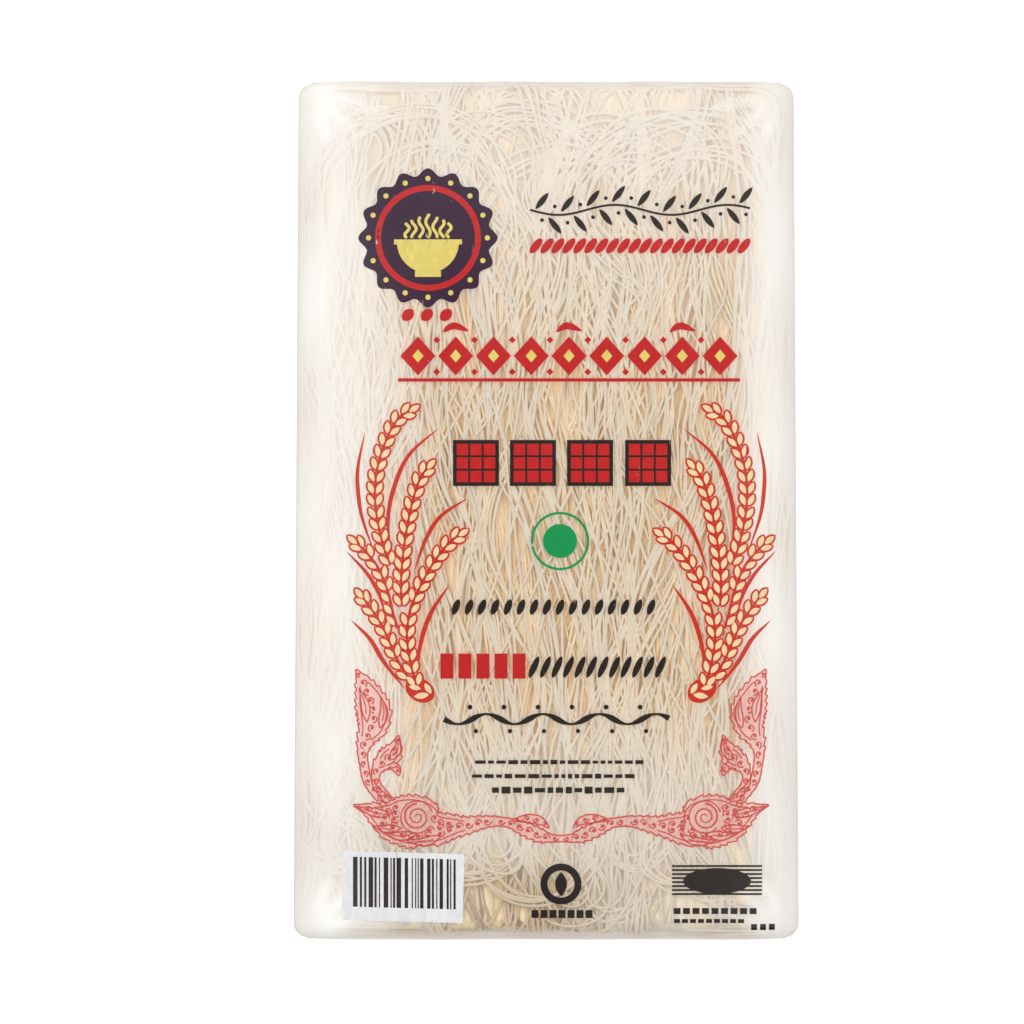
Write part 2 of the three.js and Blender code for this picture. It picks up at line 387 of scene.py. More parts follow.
# Strands that turn back near an end, in locks of nested turns: a leg, a half circle and a leg, leaned over
# as a whole.
def hairpinStrands(name, end):
    side = 0 if end > 0 else 1
    rng = np.random.default_rng(hairpins["seed"] + side)
    locks, size = hairpins["locks"][side], hairpins["lockSize"]
    lock = np.repeat(np.arange(locks), size)
    count = len(lock)
    rank = np.arange(count) % size - (size - 1) / 2
    nested = hairpins["strandGap"] * (rank + rng.normal(0, hairpins["strandJitter"], count))[:, None]
    low, high = hairpins["radius"][side]
    radius = (low + (high - low) * rng.uniform(0, 1, (locks, 1)) ** hairpins["radiusBias"])[lock] + nested
    leg = rng.uniform(*hairpins["leg"][side], (locks, 1))[lock]
    leg = leg + hairpins["legOdds"] * rng.uniform(-1, 1, (count, 1))
    half = leg + np.pi * radius / 2
    run = np.linspace(-1, 1, hairpins["steps"])[None, :]
    run = half * ((1 - hairpins["crowding"]) * run + hairpins["crowding"] * run**3)
    turn = np.clip(run / radius, -np.pi / 2, np.pi / 2)
    past = np.maximum(np.abs(run) - np.pi * radius / 2, 0)
    splay = rng.normal(0, hairpins["splay"], (locks, 1))[lock]
    sideways = radius * np.sin(turn) + np.sign(run) * splay * past
    upwards = radius * np.cos(turn) - past
    tilt = rng.normal(0, hairpins["tilt"][side], (locks, 1))[lock]
    tilt = (tilt + rng.normal(0, hairpins["tiltJitter"], (count, 1))) * np.exp(-past / hairpins["tiltFade"])
    centre = ((np.arange(locks) + rng.uniform(0, 1, locks)) / locks * 2 - 1) * hairpins["spread"]
    across = centre[lock][:, None] + sideways * np.cos(tilt) + upwards * np.sin(tilt)
    along = upwards * np.cos(tilt) - sideways * np.sin(tilt)
    top = wrap["halfLength"] - rng.uniform(*hairpins["inset"], locks) - hairpins["edge"]
    along = along + (top - along.reshape(locks, -1).max(1))[lock][:, None]
    across = across + hairpins["lockBend"][0] * sharedWander(lock, along, hairpins["lockBend"][1], rng)
    across = across + hairpins["strandBend"][0] * ownWander(count, along, hairpins["strandBend"][1], rng)
    across = np.clip(across, -hairpins["widest"], hairpins["widest"])
    rise, riseLength = hairpins["strandRise"]
    depth = rng.uniform(*hairpins["depth"], (locks, 1))[lock]
    depth = depth + rise * ownWander(count, along, riseLength, rng)
    dive, power = hairpins["endDive"]
    depth = depth + dive * (run / half) ** power
    return laidStrands(name, across, end * along, depth, noodle, rng)


cornerTurns = dict(
    seed=36,
    count=24,                     # strands round each plan corner
    heights=(0.0030, 0.0320),
    heightWander=(0.0016, 0.06),  # how far a strand rises and sinks, and over what length
    radius=0.0060,                # of the turn, seen from above
    side=(0.015, 0.050),          # how far they run back along the side
    face=(0.008, 0.030),          # how far they run in across the end face
    depth=(0.0010, 0.0018),
    steps=44,
)


# Strands round the plan corners: along the side, a quarter circle and across the end face. At each height
# they stand in as far as the rounded edges do.
def cornerStrands():
    rng = np.random.default_rng(cornerTurns["seed"])
    count = 4 * cornerTurns["count"]
    signX = np.resize([-1, 1], count)[:, None]
    signY = np.resize([-1, -1, 1, 1], count)[:, None]
    radius = cornerTurns["radius"]
    arc = radius * np.pi / 2
    side = rng.uniform(*cornerTurns["side"], (count, 1))
    face = rng.uniform(*cornerTurns["face"], (count, 1))
    run = (side + arc + face) * np.linspace(0, 1, cornerTurns["steps"])[None, :] - side
    turn = np.clip(run / radius, 0, np.pi / 2)
    wander, wanderLength = cornerTurns["heightWander"]
    z = rng.uniform(*cornerTurns["heights"], (count, 1)) + wander * ownWander(count, run, wanderLength, rng)
    z = np.clip(z, *cornerTurns["heights"])
    depth = rng.uniform(*cornerTurns["depth"], (count, 1))
    off = np.abs(z - wrap["rimTop"] / 2) - wrap["rimTop"] / 2

    # How far a rounded edge stands in: its radius less the root of radius squared less height squared.
    def standIn(rounding):
        return rounding - np.sqrt(rounding**2 - np.clip(off + rounding, 0, rounding) ** 2)

    x = wrap["halfWidth"] - depth - standIn(wrap["sideRounding"]) - radius * (1 - np.cos(turn))
    x = x - np.maximum(run - arc, 0)
    y = wrap["halfLength"] - depth - standIn(noodle["endRounding"]) - radius * (1 - np.sin(turn))
    y = y + np.minimum(run, 0)
    outward = np.stack(np.broadcast_arrays(signX * np.cos(turn), signY * np.sin(turn), 0 * turn), -1)
    size = rng.uniform(*noodle["diameter"], (count, 1)) / 2 + 0 * run
    tone = rng.normal(noodle["tone"], noodle["toneSpread"], (count, 1)).clip(0, 1) + 0 * run
    paths = settle(signX * x, signY * y, z, 0)
    return strandMesh("noodlesCorners", paths, outward, size, noodle["sides"], tone)


shell = dict(
    topSteps=120,
    sideSteps=10,
    bottomSteps=60,
    roundSteps=24,
    rimSteps=6,                   # rings round an end edge
    faceSteps=5,                  # rings across an end face
    pinches=(0.0, 0.35, 0.7),     # how high the innermost rings of an end face still are
    leastRadius=1e-5,
    weld=0.00002,                 # points nearer than this are joined
)


# The section's outline as a ring: corner circles of a radius set in by inset, joined by flats, and drawn
# together to a share of its height.
def sectionRing(inset, pinch):
    quarter = np.linspace(0, np.pi / 2, shell["roundSteps"] + 1)
    radius = wrap["sideRounding"] - inset
    low, high = wrap["sideRounding"], wrap["rimTop"] - wrap["sideRounding"]
    flat = wrap["flatX"]

    # A quarter circle about a corner's centre.
    def corner(x, z, start):
        return np.stack([x + radius * np.cos(start + quarter), z + radius * np.sin(start + quarter)], -1)

    # Even steps from one point to another, without the two.
    def between(a, b, count):
        t = np.linspace(0, 1, count + 1)[1:-1, None]
        return a + (b - a) * t

    corners = [
        corner(flat, low, -np.pi / 2), corner(flat, high, 0),
        corner(-flat, high, np.pi / 2), corner(-flat, low, np.pi),
    ]
    gaps = [shell["sideSteps"], shell["topSteps"], shell["sideSteps"], shell["bottomSteps"]]
    pieces = []
    for i, gap in enumerate(gaps):
        pieces += [corners[i], between(corners[i][-1], corners[(i + 1) % 4][0], gap)]
    outline = np.concatenate(pieces)
    middle = wrap["rimTop"] / 2
    outline[:, 1] = middle + (outline[:, 1] - middle) * pinch
    return outline


# A closed shell in the wrap's form, depth under it: section rings carried along the block, set in
# round the end edges by a quarter circle and drawn together over the end faces.
def wrapShell(depth, lengthSteps):
    inner = wrap["sideRounding"] - depth
    turn = np.linspace(0, np.pi / 2, shell["rimSteps"] + 1)
    endRadius = wrap["endRounding"]
    end = [(inner, pinch, wrap["halfLength"]) for pinch in shell["pinches"]]
    end += [(inset, 1.0, wrap["halfLength"]) for inset in np.linspace(inner, endRadius, shell["faceSteps"])]
    end += [(endRadius * (1 - np.sin(t)), 1.0, wrap["flatY"] + endRadius * np.cos(t)) for t in turn[1:]]
    straight = [(0.0, 1.0, y) for y in np.linspace(wrap["flatY"], -wrap["flatY"], lengthSteps + 1)[1:-1]]
    rings = end + straight + [(inset, pinch, -y) for inset, pinch, y in end[::-1]]
    grid = []
    for inset, pinch, y in rings:
        outline = sectionRing(min(inset + depth, wrap["sideRounding"] - shell["leastRadius"]), pinch)
        along = np.sign(y) * (abs(y) - depth)
        grid.append(settle(outline[:, 0], np.full(len(outline), along), outline[:, 1]))
    return np.array(grid)


# A shell's grid as a closed mesh: its last column is joined to its first, and its ends are welded shut.
def shellObject(name, grid):
    rows, cols = grid.shape[:2]
    index = np.arange(rows * cols).reshape(rows, cols)
    made = meshObject(name, grid.reshape(-1, 3), [gridQuads(np.column_stack([index, index[:, 0]]))])
    bpy.context.view_layer.objects.active = made
    bpy.ops.object.select_all(action="DESELECT")
    made.select_set(True)
    bpy.ops.object.mode_set(mode="EDIT")
    bpy.ops.mesh.select_all(action="SELECT")
    bpy.ops.mesh.remove_doubles(threshold=shell["weld"])
    bpy.ops.mesh.normals_make_consistent(inside=False)
    bpy.ops.object.mode_set(mode="OBJECT")
    return made


# A new material with its nodes, its links and its shader.
def newMaterial(name):
    material = bpy.data.materials.new(name)
    material.use_nodes = True
    nodes = material.node_tree.nodes
    return material, nodes, material.node_tree.links, nodes["Principled BSDF"]


# Sets values on a node's own sockets. An underscore stands for the space in a socket's name.
def setInputs(node, **values):
    for name, value in values.items():
        node.inputs[name.replace("_", " ")].default_value = value


# A new node of a kind with its settings.
def newNode(nodes, kind, **settings):
    node = nodes.new("ShaderNode" + kind)
    for name, value in settings.items():
        setattr(node, name, value)
    return node


# Links given as source node, its output, target node and its input.
def wire(links, *runs):
    for source, output, target, entry in runs:
        links.new(source.outputs[output], target.inputs[entry])


mottle = dict(
    detail=4,
    contrast=(0.3, 0.7),        # noise values that darken most and lighten most
    scuff=(260, 6, 0.7),        # scale, detail and roughness of the scuffs' noise
    scuffLimits=(0.70, 0.66),   # noise values where ink is gone and where it is whole
    bump=0.5,
)


# Shared effect: fine mottling. Noise darkens or lightens a colour by an amount, and is put out as height.
# Scuffs are thin spots where long stretched noise rises over a limit.
def mottleGroup():
    group = bpy.data.node_groups.new("fineMottle", "ShaderNodeTree")
    for name, kind, value in (
        ("Colour", "NodeSocketColor", (0.8, 0.8, 0.8, 1)), ("Amount", "NodeSocketFloat", 0.2),
        ("Scale", "NodeSocketFloat", 900.0), ("Stretch", "NodeSocketVector", (1.0, 1.0, 1.0)),
    ):
        group.interface.new_socket(name, in_out="INPUT", socket_type=kind).default_value = value
    for name, kind in (
        ("Colour", "NodeSocketColor"), ("Height", "NodeSocketFloat"), ("Cover", "NodeSocketFloat"),
    ):
        group.interface.new_socket(name, in_out="OUTPUT", socket_type=kind)
    nodes = group.nodes
    given = nodes.new("NodeGroupInput")
    result = nodes.new("NodeGroupOutput")
    place = newNode(nodes, "TexCoord")
    stretch = newNode(nodes, "VectorMath", operation="MULTIPLY")
    grain = newNode(nodes, "TexNoise")
    setInputs(grain, Detail=mottle["detail"])
    shade = newNode(nodes, "MapRange")
    low, high = mottle["contrast"]
    setInputs(shade, From_Min=low, From_Max=high, To_Min=-0.5, To_Max=0.5)
    gain = newNode(nodes, "Math", operation="MULTIPLY_ADD")
    gain.inputs[2].default_value = 1.0
    tint = newNode(nodes, "VectorMath", operation="SCALE")
    scuff = newNode(nodes, "TexNoise")
    scale, detail, roughness = mottle["scuff"]
    setInputs(scuff, Scale=scale, Detail=detail, Roughness=roughness)
    cover = newNode(nodes, "MapRange")
    gone, whole = mottle["scuffLimits"]
    setInputs(cover, From_Min=gone, From_Max=whole)
    wire(
        group.links,
        (place, "Object", stretch, 0), (given, "Stretch", stretch, 1),
        (stretch, "Vector", grain, "Vector"), (given, "Scale", grain, "Scale"),
        (grain, "Fac", shade, "Value"), (shade, "Result", gain, 0), (given, "Amount", gain, 1),
        (given, "Colour", tint, 0), (gain, "Value", tint, "Scale"),
        (stretch, "Vector", scuff, "Vector"), (scuff, "Fac", cover, "Value"),
        (tint, "Vector", result, "Colour"), (grain, "Fac", result, "Height"),
        (cover, "Result", result, "Cover"),
    )
    return group


fineMottle = mottleGroup()


# Places the shared mottling in a material and bumps its surface with it.
def mottled(nodes, links, shader, amount, scale, stretch, depth):
    effect = newNode(nodes, "Group", node_tree=fineMottle)
    setInputs(effect, Amount=amount, Scale=scale, Stretch=stretch)
    bump = newNode(nodes, "Bump")
    setInputs(bump, Strength=mottle["bump"], Distance=depth)
    wire(links, (effect, "Height", bump, "Height"), (bump, "Normal", shader, "Normal"),
         (effect, "Colour", shader, "Base Color"))
    return effect


noodleLook = dict(
    # Dull and tan go to deep strands and the tail as painted shade; pale is the strands' own colour.
    dull=(0.40, 0.335, 0.27, 1),
    tan=(0.95, 0.77, 0.52, 1),
    tanAt=0.3,                    # tone at which a strand is tan
    pale=(0.765, 0.692, 0.582, 1),
    roughness=0.5,
    glow=(1.0, 0.62, 0.28, 1),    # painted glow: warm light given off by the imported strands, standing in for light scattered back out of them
    paintedGlowStrength=0.085,
    grain=dict(amount=0.10, scale=420, stretch=(1.0, 0.25, 1.0), depth=0.00005),
)


# Dry noodle: the strand's tone picks a colour from dull over tan to pale, where the dull and tan colours of
# the deep layers and the tail are painted shade, its painted shade darkens it towards the tail, and fine
# mottling runs along it.
def noodleFinish():
    material, nodes, links, shader = newMaterial("dryRiceNoodle")
    tone = newNode(nodes, "Attribute", attribute_name="strandTone")
    # Painted shade: the darkening towards the tail.
    shade = newNode(nodes, "Attribute", attribute_name="strandShade")
    ramp = newNode(nodes, "ValToRGB")
    ramp.color_ramp.elements[0].color = noodleLook["dull"]
    ramp.color_ramp.elements[1].color = noodleLook["pale"]
    ramp.color_ramp.elements.new(noodleLook["tanAt"]).color = noodleLook["tan"]
    dimmed = newNode(nodes, "VectorMath", operation="SCALE")
    effect = mottled(nodes, links, shader, **noodleLook["grain"])
    wire(links, (tone, "Fac", ramp, "Fac"), (ramp, "Color", dimmed, 0), (shade, "Fac", dimmed, "Scale"),
         (dimmed, "Vector", effect, "Colour"))
    # The strands glow a little: painted light.
    setInputs(shader, Roughness=noodleLook["roughness"], Emission_Color=noodleLook["glow"],
              Emission_Strength=noodleLook["paintedGlowStrength"])
    return material


core = dict(
    depth=0.0027,                 # under the wrap
    lengthSteps=60,
    # Tanner than the strands: painted shade of the deep gaps between them.
    colour=(0.97, 0.77, 0.49, 1),
    roughness=0.7,
    grain=dict(amount=0.45, scale=1100, stretch=(1.0, 0.03, 1.0), depth=0.0006),
)


# The imported strands inside: one tan colour that is painted shade of the deep gaps, streaked lengthwise by
# the mottling.
def coreFinish():
    material, nodes, links, shader = newMaterial("denseNoodleCore")
    effect = mottled(nodes, links, shader, **core["grain"])
    setInputs(effect, Colour=core["colour"])
    setInputs(shader, Roughness=core["roughness"])
    return material


filmLook = dict(
    tint=(0.978, 0.964, 0.926, 1),
    clear=0.22,             # roughness where the film is clear
    milky=0.75,             # roughness where it is milky
    milkyFrom=0.05,         # milkiness from which it is as rough as that
    gloss=1.24,
    milkPaintedGlow=0.16,          # painted glow: light that the milky film gives off of its own
)


# Milky film: it hides what lies under it by its milkiness, and gives off a little light as a painted glow.
def milkyFilmFinish():
    material, nodes, links, shader = newMaterial("milkyFilm")
    milk = newNode(nodes, "Attribute", attribute_name="milkiness")
    wire(links, (milk, "Fac", shader, "Alpha"))
    setInputs(shader, Base_Color=filmLook["tint"], Roughness=filmLook["milky"],
              Emission_Color=filmLook["tint"], Emission_Strength=filmLook["milkPaintedGlow"])
    return material


# Clear film: as see-through as its own gloss and milkiness leave it. Gloss mirrors, milkiness scatters.
def clearFilmFinish():
    material, nodes, links, shader = newMaterial("clearFilm")
    setInputs(shader, Base_Color=filmLook["tint"])
    milk = newNode(nodes, "Attribute", attribute_name="milkiness")
    rough = newNode(nodes, "MapRange")
    setInputs(rough, From_Max=filmLook["milkyFrom"], To_Min=filmLook["clear"], To_Max=filmLook["milky"])
    gloss = newNode(nodes, "Fresnel")
    setInputs(gloss, IOR=filmLook["gloss"])
    veil = newNode(nodes, "Math", operation="ADD", use_clamp=True)
    share = newNode(nodes, "Math", operation="DIVIDE")
    wire(
        links,
        (milk, "Fac", rough, "Value"), (rough, "Result", shader, "Roughness"),
        (gloss, "Fac", veil, 0), (milk, "Fac", veil, 1), (veil, "Value", shader, "Alpha"),
        (gloss, "Fac", share, 0), (veil, "Value", share, 1), (share, "Value", shader, "Metallic"),
    )
    return material


# Gives a piece its finish, and says what it rides on.
def dress(made, material):
    made.data.materials.clear()
    made.data.materials.append(material)
    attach(made, "root")
    return made


dryNoodle = noodleFinish()
for layer in noodleLayers:
    dress(longLayer(layer), dryNoodle)
dress(strayStrands(), dryNoodle)
dress(hairpinStrands("noodlesHeadTurns", 1), dryNoodle)
dress(hairpinStrands("noodlesTailTurns", -1), dryNoodle)
dress(cornerStrands(), dryNoodle)
dress(shellObject("noodleCore", wrapShell(core["depth"], core["lengthSteps"])), coreFinish())
print("noodles laid")

film = dict(
    seed=41,
    lengthSteps=240,
    linerDepth=0.00013,
    ripple=(0.00010, 0.030, 0.050),   # size, width and length of the film's slow waves
    rippleRim=(0.009, 0.002),         # depths under the rim where the waves start and where they are whole
    crease=(0.00004, 0.003, 0.060),   # the same as ripple for the fine lengthwise creases
    creaseFrom=(0.035, 0.060),        # distances off the middle where creases start and are whole
    pucker=(0.00018, 0.0016, 0.030),  # height, width and reach of the gathers that run in from the corners
    puckerTurns=(0.32, 0.78, 1.22),   # their directions, from across towards along
    puckerShorter=0.2,                # by how much of the reach each is shorter than the one before
    puckerInset=(0.004, 0.002),       # how far in from the side and the end they start
    puckerRise=(0.002, 0.010),        # along them, where they start to rise and where they are whole
    puckerFall=0.012,                 # and from where they die away
    # The left and right bands are milky haze that also carries painted glare of the rounded long edges.
    leftGlareMilk=(0.76, -0.026, -0.062),  # most milkiness, where it starts and where it is full; milky haze with painted glare along the long edge
    rightGlareMilk=(0.80, 0.046, 0.064),
    headMilk=(0.42, 0.025, 0.119),
    tailMilk=(0.45, 0.1145, 0.1185),
    leastMilk=0.02,                   # milkiness of the film where it is clearest
    gatherMilk=(0.22, 0.006, 0.002),  # milkiness of the gathers, and depths under the rim as for the waves
    tailHaze=(0.30, 0.040, 0.090),    # most haze over the tail, where it starts and where it is full
    tailClear=(-0.008, 0.024, 0.090, 0.106),  # middle, width, start and end of the clear patch in it
    outerShare=0.05,                  # share of the milkiness that lies over the print
    sideShare=0.28,                   # share of it that is left on the side and end faces
    sideFade=(0.0175, 0.0290),        # heights where it is down to that and where it is whole
    milkClouds=(0.08, 0.014, 0.060),  # unevenness of the milkiness, its width and length
)


# Gathers in the film: low ridges, bell-shaped across, that run from each plan corner over the face and
# die away.
def filmPucker(x, y):
    height, width, reach = film["pucker"]
    insetX, insetY = film["puckerInset"]
    inX = wrap["halfWidth"] - insetX - np.abs(x)
    inY = wrap["halfLength"] - insetY - np.abs(y)
    total = 0
    for i, turn in enumerate(film["puckerTurns"]):
        along = inX * np.cos(turn) + inY * np.sin(turn)
        off = inX * np.sin(turn) - inY * np.cos(turn)
        fade = ease(along, reach * (1 - film["puckerShorter"] * i), film["puckerFall"])
        fade = fade * ease(along, *film["puckerRise"])
        total = total + fade * np.exp(-(off / width) ** 2)
    return total


# How much of an effect shows at a height: none low under the rim, all of it near the shown face.
def nearRim(z, start, full):
    return ease(z, wrap["rimTop"] - start, wrap["rimTop"] - full)


# How far the film stands off its plain form: slow waves, creases and gathers, only near the shown face.
def filmRipple(x, y, z):
    rng = np.random.default_rng(film["seed"])
    size, width, length = film["ripple"]
    waves = size * (1 + smoothNoise(x, y, width, length, rng))
    size, width, length = film["crease"]
    creases = size * ease(np.abs(x), *film["creaseFrom"]) * smoothNoise(x, y, width, length, rng)
    gathers = film["pucker"][0] * filmPucker(x, y)
    return (waves + creases + gathers) * nearRim(z, *film["rippleRim"])


# Height of the film over a place on the shown face: flat, rounded down at the long edges, then settled.
def filmTop(x, y):
    upright = x / widening(y)
    past = np.clip(np.abs(upright) - wrap["flatX"], 0, wrap["sideRounding"])
    z = wrap["rimTop"] - wrap["sideRounding"] + np.sqrt(wrap["sideRounding"]**2 - past**2)
    return settle(upright, y, z)[..., 2] + filmRipple(x, y, z)


# Milkiness at a place on the film: the most of what the left, right and head edges and the tail give, less
# of it down the sides, made uneven, and more along the gathers. The left and right bands are milky haze and
# painted glare together.
def filmMilk(x, y, z):
    sides = [most * ease(at, start, full) for at, (most, start, full) in (
        (x, film["leftGlareMilk"]), (x, film["rightGlareMilk"]), (y, film["headMilk"]), (-y, film["tailMilk"]))]
    middle, width, start, full = film["tailClear"]
    clear = np.exp(-((x - middle) / width) ** 2) * ease(-y, start, full)
    most, start, full = film["tailHaze"]
    sides += [most * ease(-y, start, full) * (1 - clear), np.full_like(x, film["leastMilk"])]
    low = film["sideShare"] + (1 - film["sideShare"]) * ease(z, *film["sideFade"])
    most, start, full = film["gatherMilk"]
    gathers = most * filmPucker(x, y) * nearRim(z, start, full)
    uneven, width, length = film["milkClouds"]
    clouds = 1 + uneven * smoothNoise(x, y, width, length, np.random.default_rng(film["seed"] + 1))
    return np.max(sides, axis=0) * low * clouds + gathers


# Film lets all light by, so that it dims nothing under it.
def seeThrough(made):
    made.visible_shadow = False
    made.visible_diffuse = False
    return made


# One skin of the wrap: the shell, rippled, with a share of the milkiness.
def filmShell(name, depth, share):
    grid = wrapShell(depth, film["lengthSteps"])
    x, y, z = np.moveaxis(grid, -1, 0)
    grid[..., 2] = z + filmRipple(x, y, z)
    made = shellObject(name, grid)
    place = np.empty(len(made.data.vertices) * 3)
    made.data.vertices.foreach_get("co", place)
    pointValues(made, "milkiness", np.clip(share * filmMilk(*place.reshape(-1, 3).T), 0, 1))
    return seeThrough(made)


# A film fold: a grid of rows from a rim inwards, widened as the wrap is and given the film's thickness.
def foldPiece(name, grid, milk):
    grid = settle(*np.moveaxis(grid, -1, 0), 0)
    rows, cols = grid.shape[:2]
    index = np.arange(rows * cols).reshape(rows, cols)
    made = meshObject(name, grid.reshape(-1, 3), [gridQuads(index)])
    pointValues(made, "milkiness", np.broadcast_to(milk, (rows, cols)))
    body = made.modifiers.new("filmThickness", "SOLIDIFY")
    body.thickness = endFolds["thickness"]
    body.offset = 0
    return seeThrough(made)


endFolds = dict(
    under=(0.018, 0.00012, -1),   # height, distance off the end face, and which rim it starts from
    over=(0.020, 0.00030, 1),
    slope=0.9,                    # how far a fold's sides lean in for each unit of its height
    liftBy=0.1,                   # share of the height by which a fold stands off whole
    waves=(0.00008, 9, 4),        # height of a fold's waves, and how close they are across and along
    sealRidge=(0.00008, 0.0012),  # height and spacing of the pressed ridges along a fold's edge
    sealFrom=(0.62, 0.70),        # share of the height where the ridges start and where they are whole
    sealMilk=1.2,                 # how much milkier the ridges are
    milk=0.16,
    thickness=0.00005,
    steps=(41, 25),               # across and along
)


# A flap on an end face: it narrows evenly from its rim, lifts off the face and ends in pressed ridges.
def endFold(name, end, height, off, upwards):
    u = np.linspace(-1, 1, endFolds["steps"][0])[None, :]
    v = np.linspace(0, 1, endFolds["steps"][1])[:, None]
    rim = wrap["endRounding"] if upwards > 0 else wrap["rimTop"] - wrap["endRounding"]
    x = u * (wrap["flatX"] - endFolds["slope"] * height * v)
    z = rim + upwards * v * height + 0 * u
    sealed = ease(v, *endFolds["sealFrom"])
    ridge, spacing = endFolds["sealRidge"]
    pressed = ridge * np.sin(2 * np.pi * v * height / spacing) * sealed
    size, across, along = endFolds["waves"]
    waves = size * np.sin(across * u + along * v)
    y = end * (wrap["halfLength"] + off * ease(v, 0, endFolds["liftBy"]) + pressed + waves)
    grid = np.stack(np.broadcast_arrays(x * (end * upwards), y, z), -1)
    return foldPiece(name, grid, endFolds["milk"] * (1 + endFolds["sealMilk"] * sealed) + 0 * u)


endTucks = dict(
    reach=0.016,
    height=0.023,
    narrowing=0.15,               # share of the height that is lost at the inner point
    off=(0.00006, 0.00003),       # distance off the end face, and how much more at the inner point
    steps=(17, 9),
)


# A tucked corner: a triangle that runs in from a side over the end face, wide at the side.
def endTuck(name, end, side):
    u = np.linspace(-1, 1, endTucks["steps"][0])[None, :]
    v = np.linspace(0, 1, endTucks["steps"][1])[:, None]
    x = side * (wrap["halfWidth"] - wrap["endRounding"] - endTucks["reach"] * v * (1 - np.abs(u)))
    z = wrap["rimTop"] / 2 + u * endTucks["height"] / 2 * (1 - endTucks["narrowing"] * v)
    y = end * (wrap["halfLength"] + endTucks["off"][0] + endTucks["off"][1] * v)
    grid = np.stack(np.broadcast_arrays(x, y, z), -1)
    return foldPiece(name, grid if end * side < 0 else grid[:, ::-1], endFolds["milk"])


underSeal = dict(
    halfWidth=0.010,
    drop=0.00012,                 # how far it hangs under the block
    edge=(0.4, 0.8),              # share of the drop at its edges, and share of the width where it is whole
    milk=0.3,
    steps=(13, 61),
)


# The lengthwise seal under the block: a strip that hangs least at its edges.
def backSeal():
    u = np.linspace(-1, 1, underSeal["steps"][0])[None, :]
    v = np.linspace(-1, 1, underSeal["steps"][1])[:, None]
    least, whole = underSeal["edge"]
    z = -underSeal["drop"] * (least + (1 - least) * ease(np.abs(u), 1.0, whole)) + 0 * v
    grid = np.stack(np.broadcast_arrays(-underSeal["halfWidth"] * u, v * wrap["flatY"], z), -1)
    return foldPiece("filmBackSeal", grid[::-1], underSeal["milk"])


clearFilm = clearFilmFinish()
wrapped = dress(filmShell("clearWrap", 0.0, film["outerShare"]), clearFilm)
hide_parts(blockNode)
dress(filmShell("clearWrapInside", film["linerDepth"], 1.0), milkyFilmFinish())
for end, endName in ((1, "Head"), (-1, "Tail")):
    dress(endFold("filmFoldUnder" + endName, end, *endFolds["under"]), clearFilm)
    dress(endFold("filmFoldOver" + endName, end, *endFolds["over"]), clearFilm)
    for side, sideName in ((-1, "Left"), (1, "Right")):
        dress(endTuck("filmTuck" + endName + sideName, end, side), clearFilm)
dress(backSeal(), clearFilm)
print("film wrapped")

photo = dict(
    framePixels=1024,
    pixel=0.00028,              # size of one of the photograph's pixels at half the wrap's height
    packCentre=(546, 510.5),    # middle of the wrap in the photograph
    lens=180,
    sensor=36,
)
photo["middle"] = photo["framePixels"] / 2
photo["distance"] = photo["framePixels"] * photo["pixel"] * photo["lens"] / photo["sensor"]
photo["axis"] = (np.full(2, photo["middle"]) - photo["packCentre"]) * photo["pixel"] * np.array([1, -1])
photo["facePixel"] = photo["pixel"] * (1 - wrap["rimTop"] / 2 / photo["distance"])


# A place on the shown face, in metres, from the photograph's pixels.
def onFace(points):
    away = np.asarray(points, float) - photo["middle"]
    return photo["axis"] + away * photo["facePixel"] * np.array([1, -1])


# Steps of unit length at angles, in pixels, whose rows run down.
def towards(angle):
    return np.stack([np.cos(angle), -np.sin(angle)], -1)


# Steps of unit length square to a line.
def besides(line):
    along = unit(np.gradient(line, axis=0))
    return np.stack([-along[:, 1], along[:, 0]], -1)


# Distance of each of a line's points from its first, along the line.
def runLength(line):
    return np.concatenate([[0], np.cumsum(np.linalg.norm(np.diff(line, axis=0), axis=1))])


# A smooth line through a few knots: cubic pieces whose slopes come from the neighbouring knots.
def smoothLine(knots, count):
    knots = np.asarray(knots, float)
    padded = np.concatenate([[2 * knots[0] - knots[1]], knots, [2 * knots[-1] - knots[-2]]])
    t = np.linspace(0, len(knots) - 1, count)
    i = np.minimum(t.astype(int), len(knots) - 2)
    f = (t - i).reshape((-1,) + (1,) * (knots.ndim - 1))
    a, b, c, d = padded[i], padded[i + 1], padded[i + 2], padded[i + 3]
    return 0.5 * (2 * b + (c - a) * f + (2 * a - 5 * b + 4 * c - d) * f**2 + (3 * b - a - 3 * c + d) * f**3)


# A printed stroke: a line in pixels with half its width on each side, as a grid along and across.
def stroke(path, half, across=3):
    line = onFace(path)
    width = np.broadcast_to(np.asarray(half, float), len(line)) * photo["facePixel"]
    side = np.linspace(-1, 1, across)
    return line[:, None] + besides(line)[:, None] * (width[:, None] * side)[..., None]


# A straight bar: a stroke of one width, with a station every few pixels so that it follows the face.
def bar(centre, length, height, turn=0.0, step=3, leastStations=5):
    t = np.linspace(-0.5, 0.5, max(leastStations, int(length / step)))[:, None]
    return stroke(np.array(centre) + length * t * towards(turn), height / 2)


# A leaf or grain: a straight middle line whose half width swells as a sine raised to fullness.
def leaf(centre, length, width, turn, fullness=0.8, count=11, tip=0.03):
    t = np.linspace(0.0, 1.0, count)
    path = np.array(centre) + length * (t[:, None] - 0.5) * towards(turn)
    return stroke(path, tip + width / 2 * np.sin(np.pi * t) ** fullness)


# A blade of grass: the same swelling along a smooth line.
def blade(knots, width, count=28, fullness=0.7, tip=0.05):
    t = np.linspace(0, 1, count)
    return stroke(smoothLine(knots, count), tip + width / 2 * np.sin(np.pi * t) ** fullness)


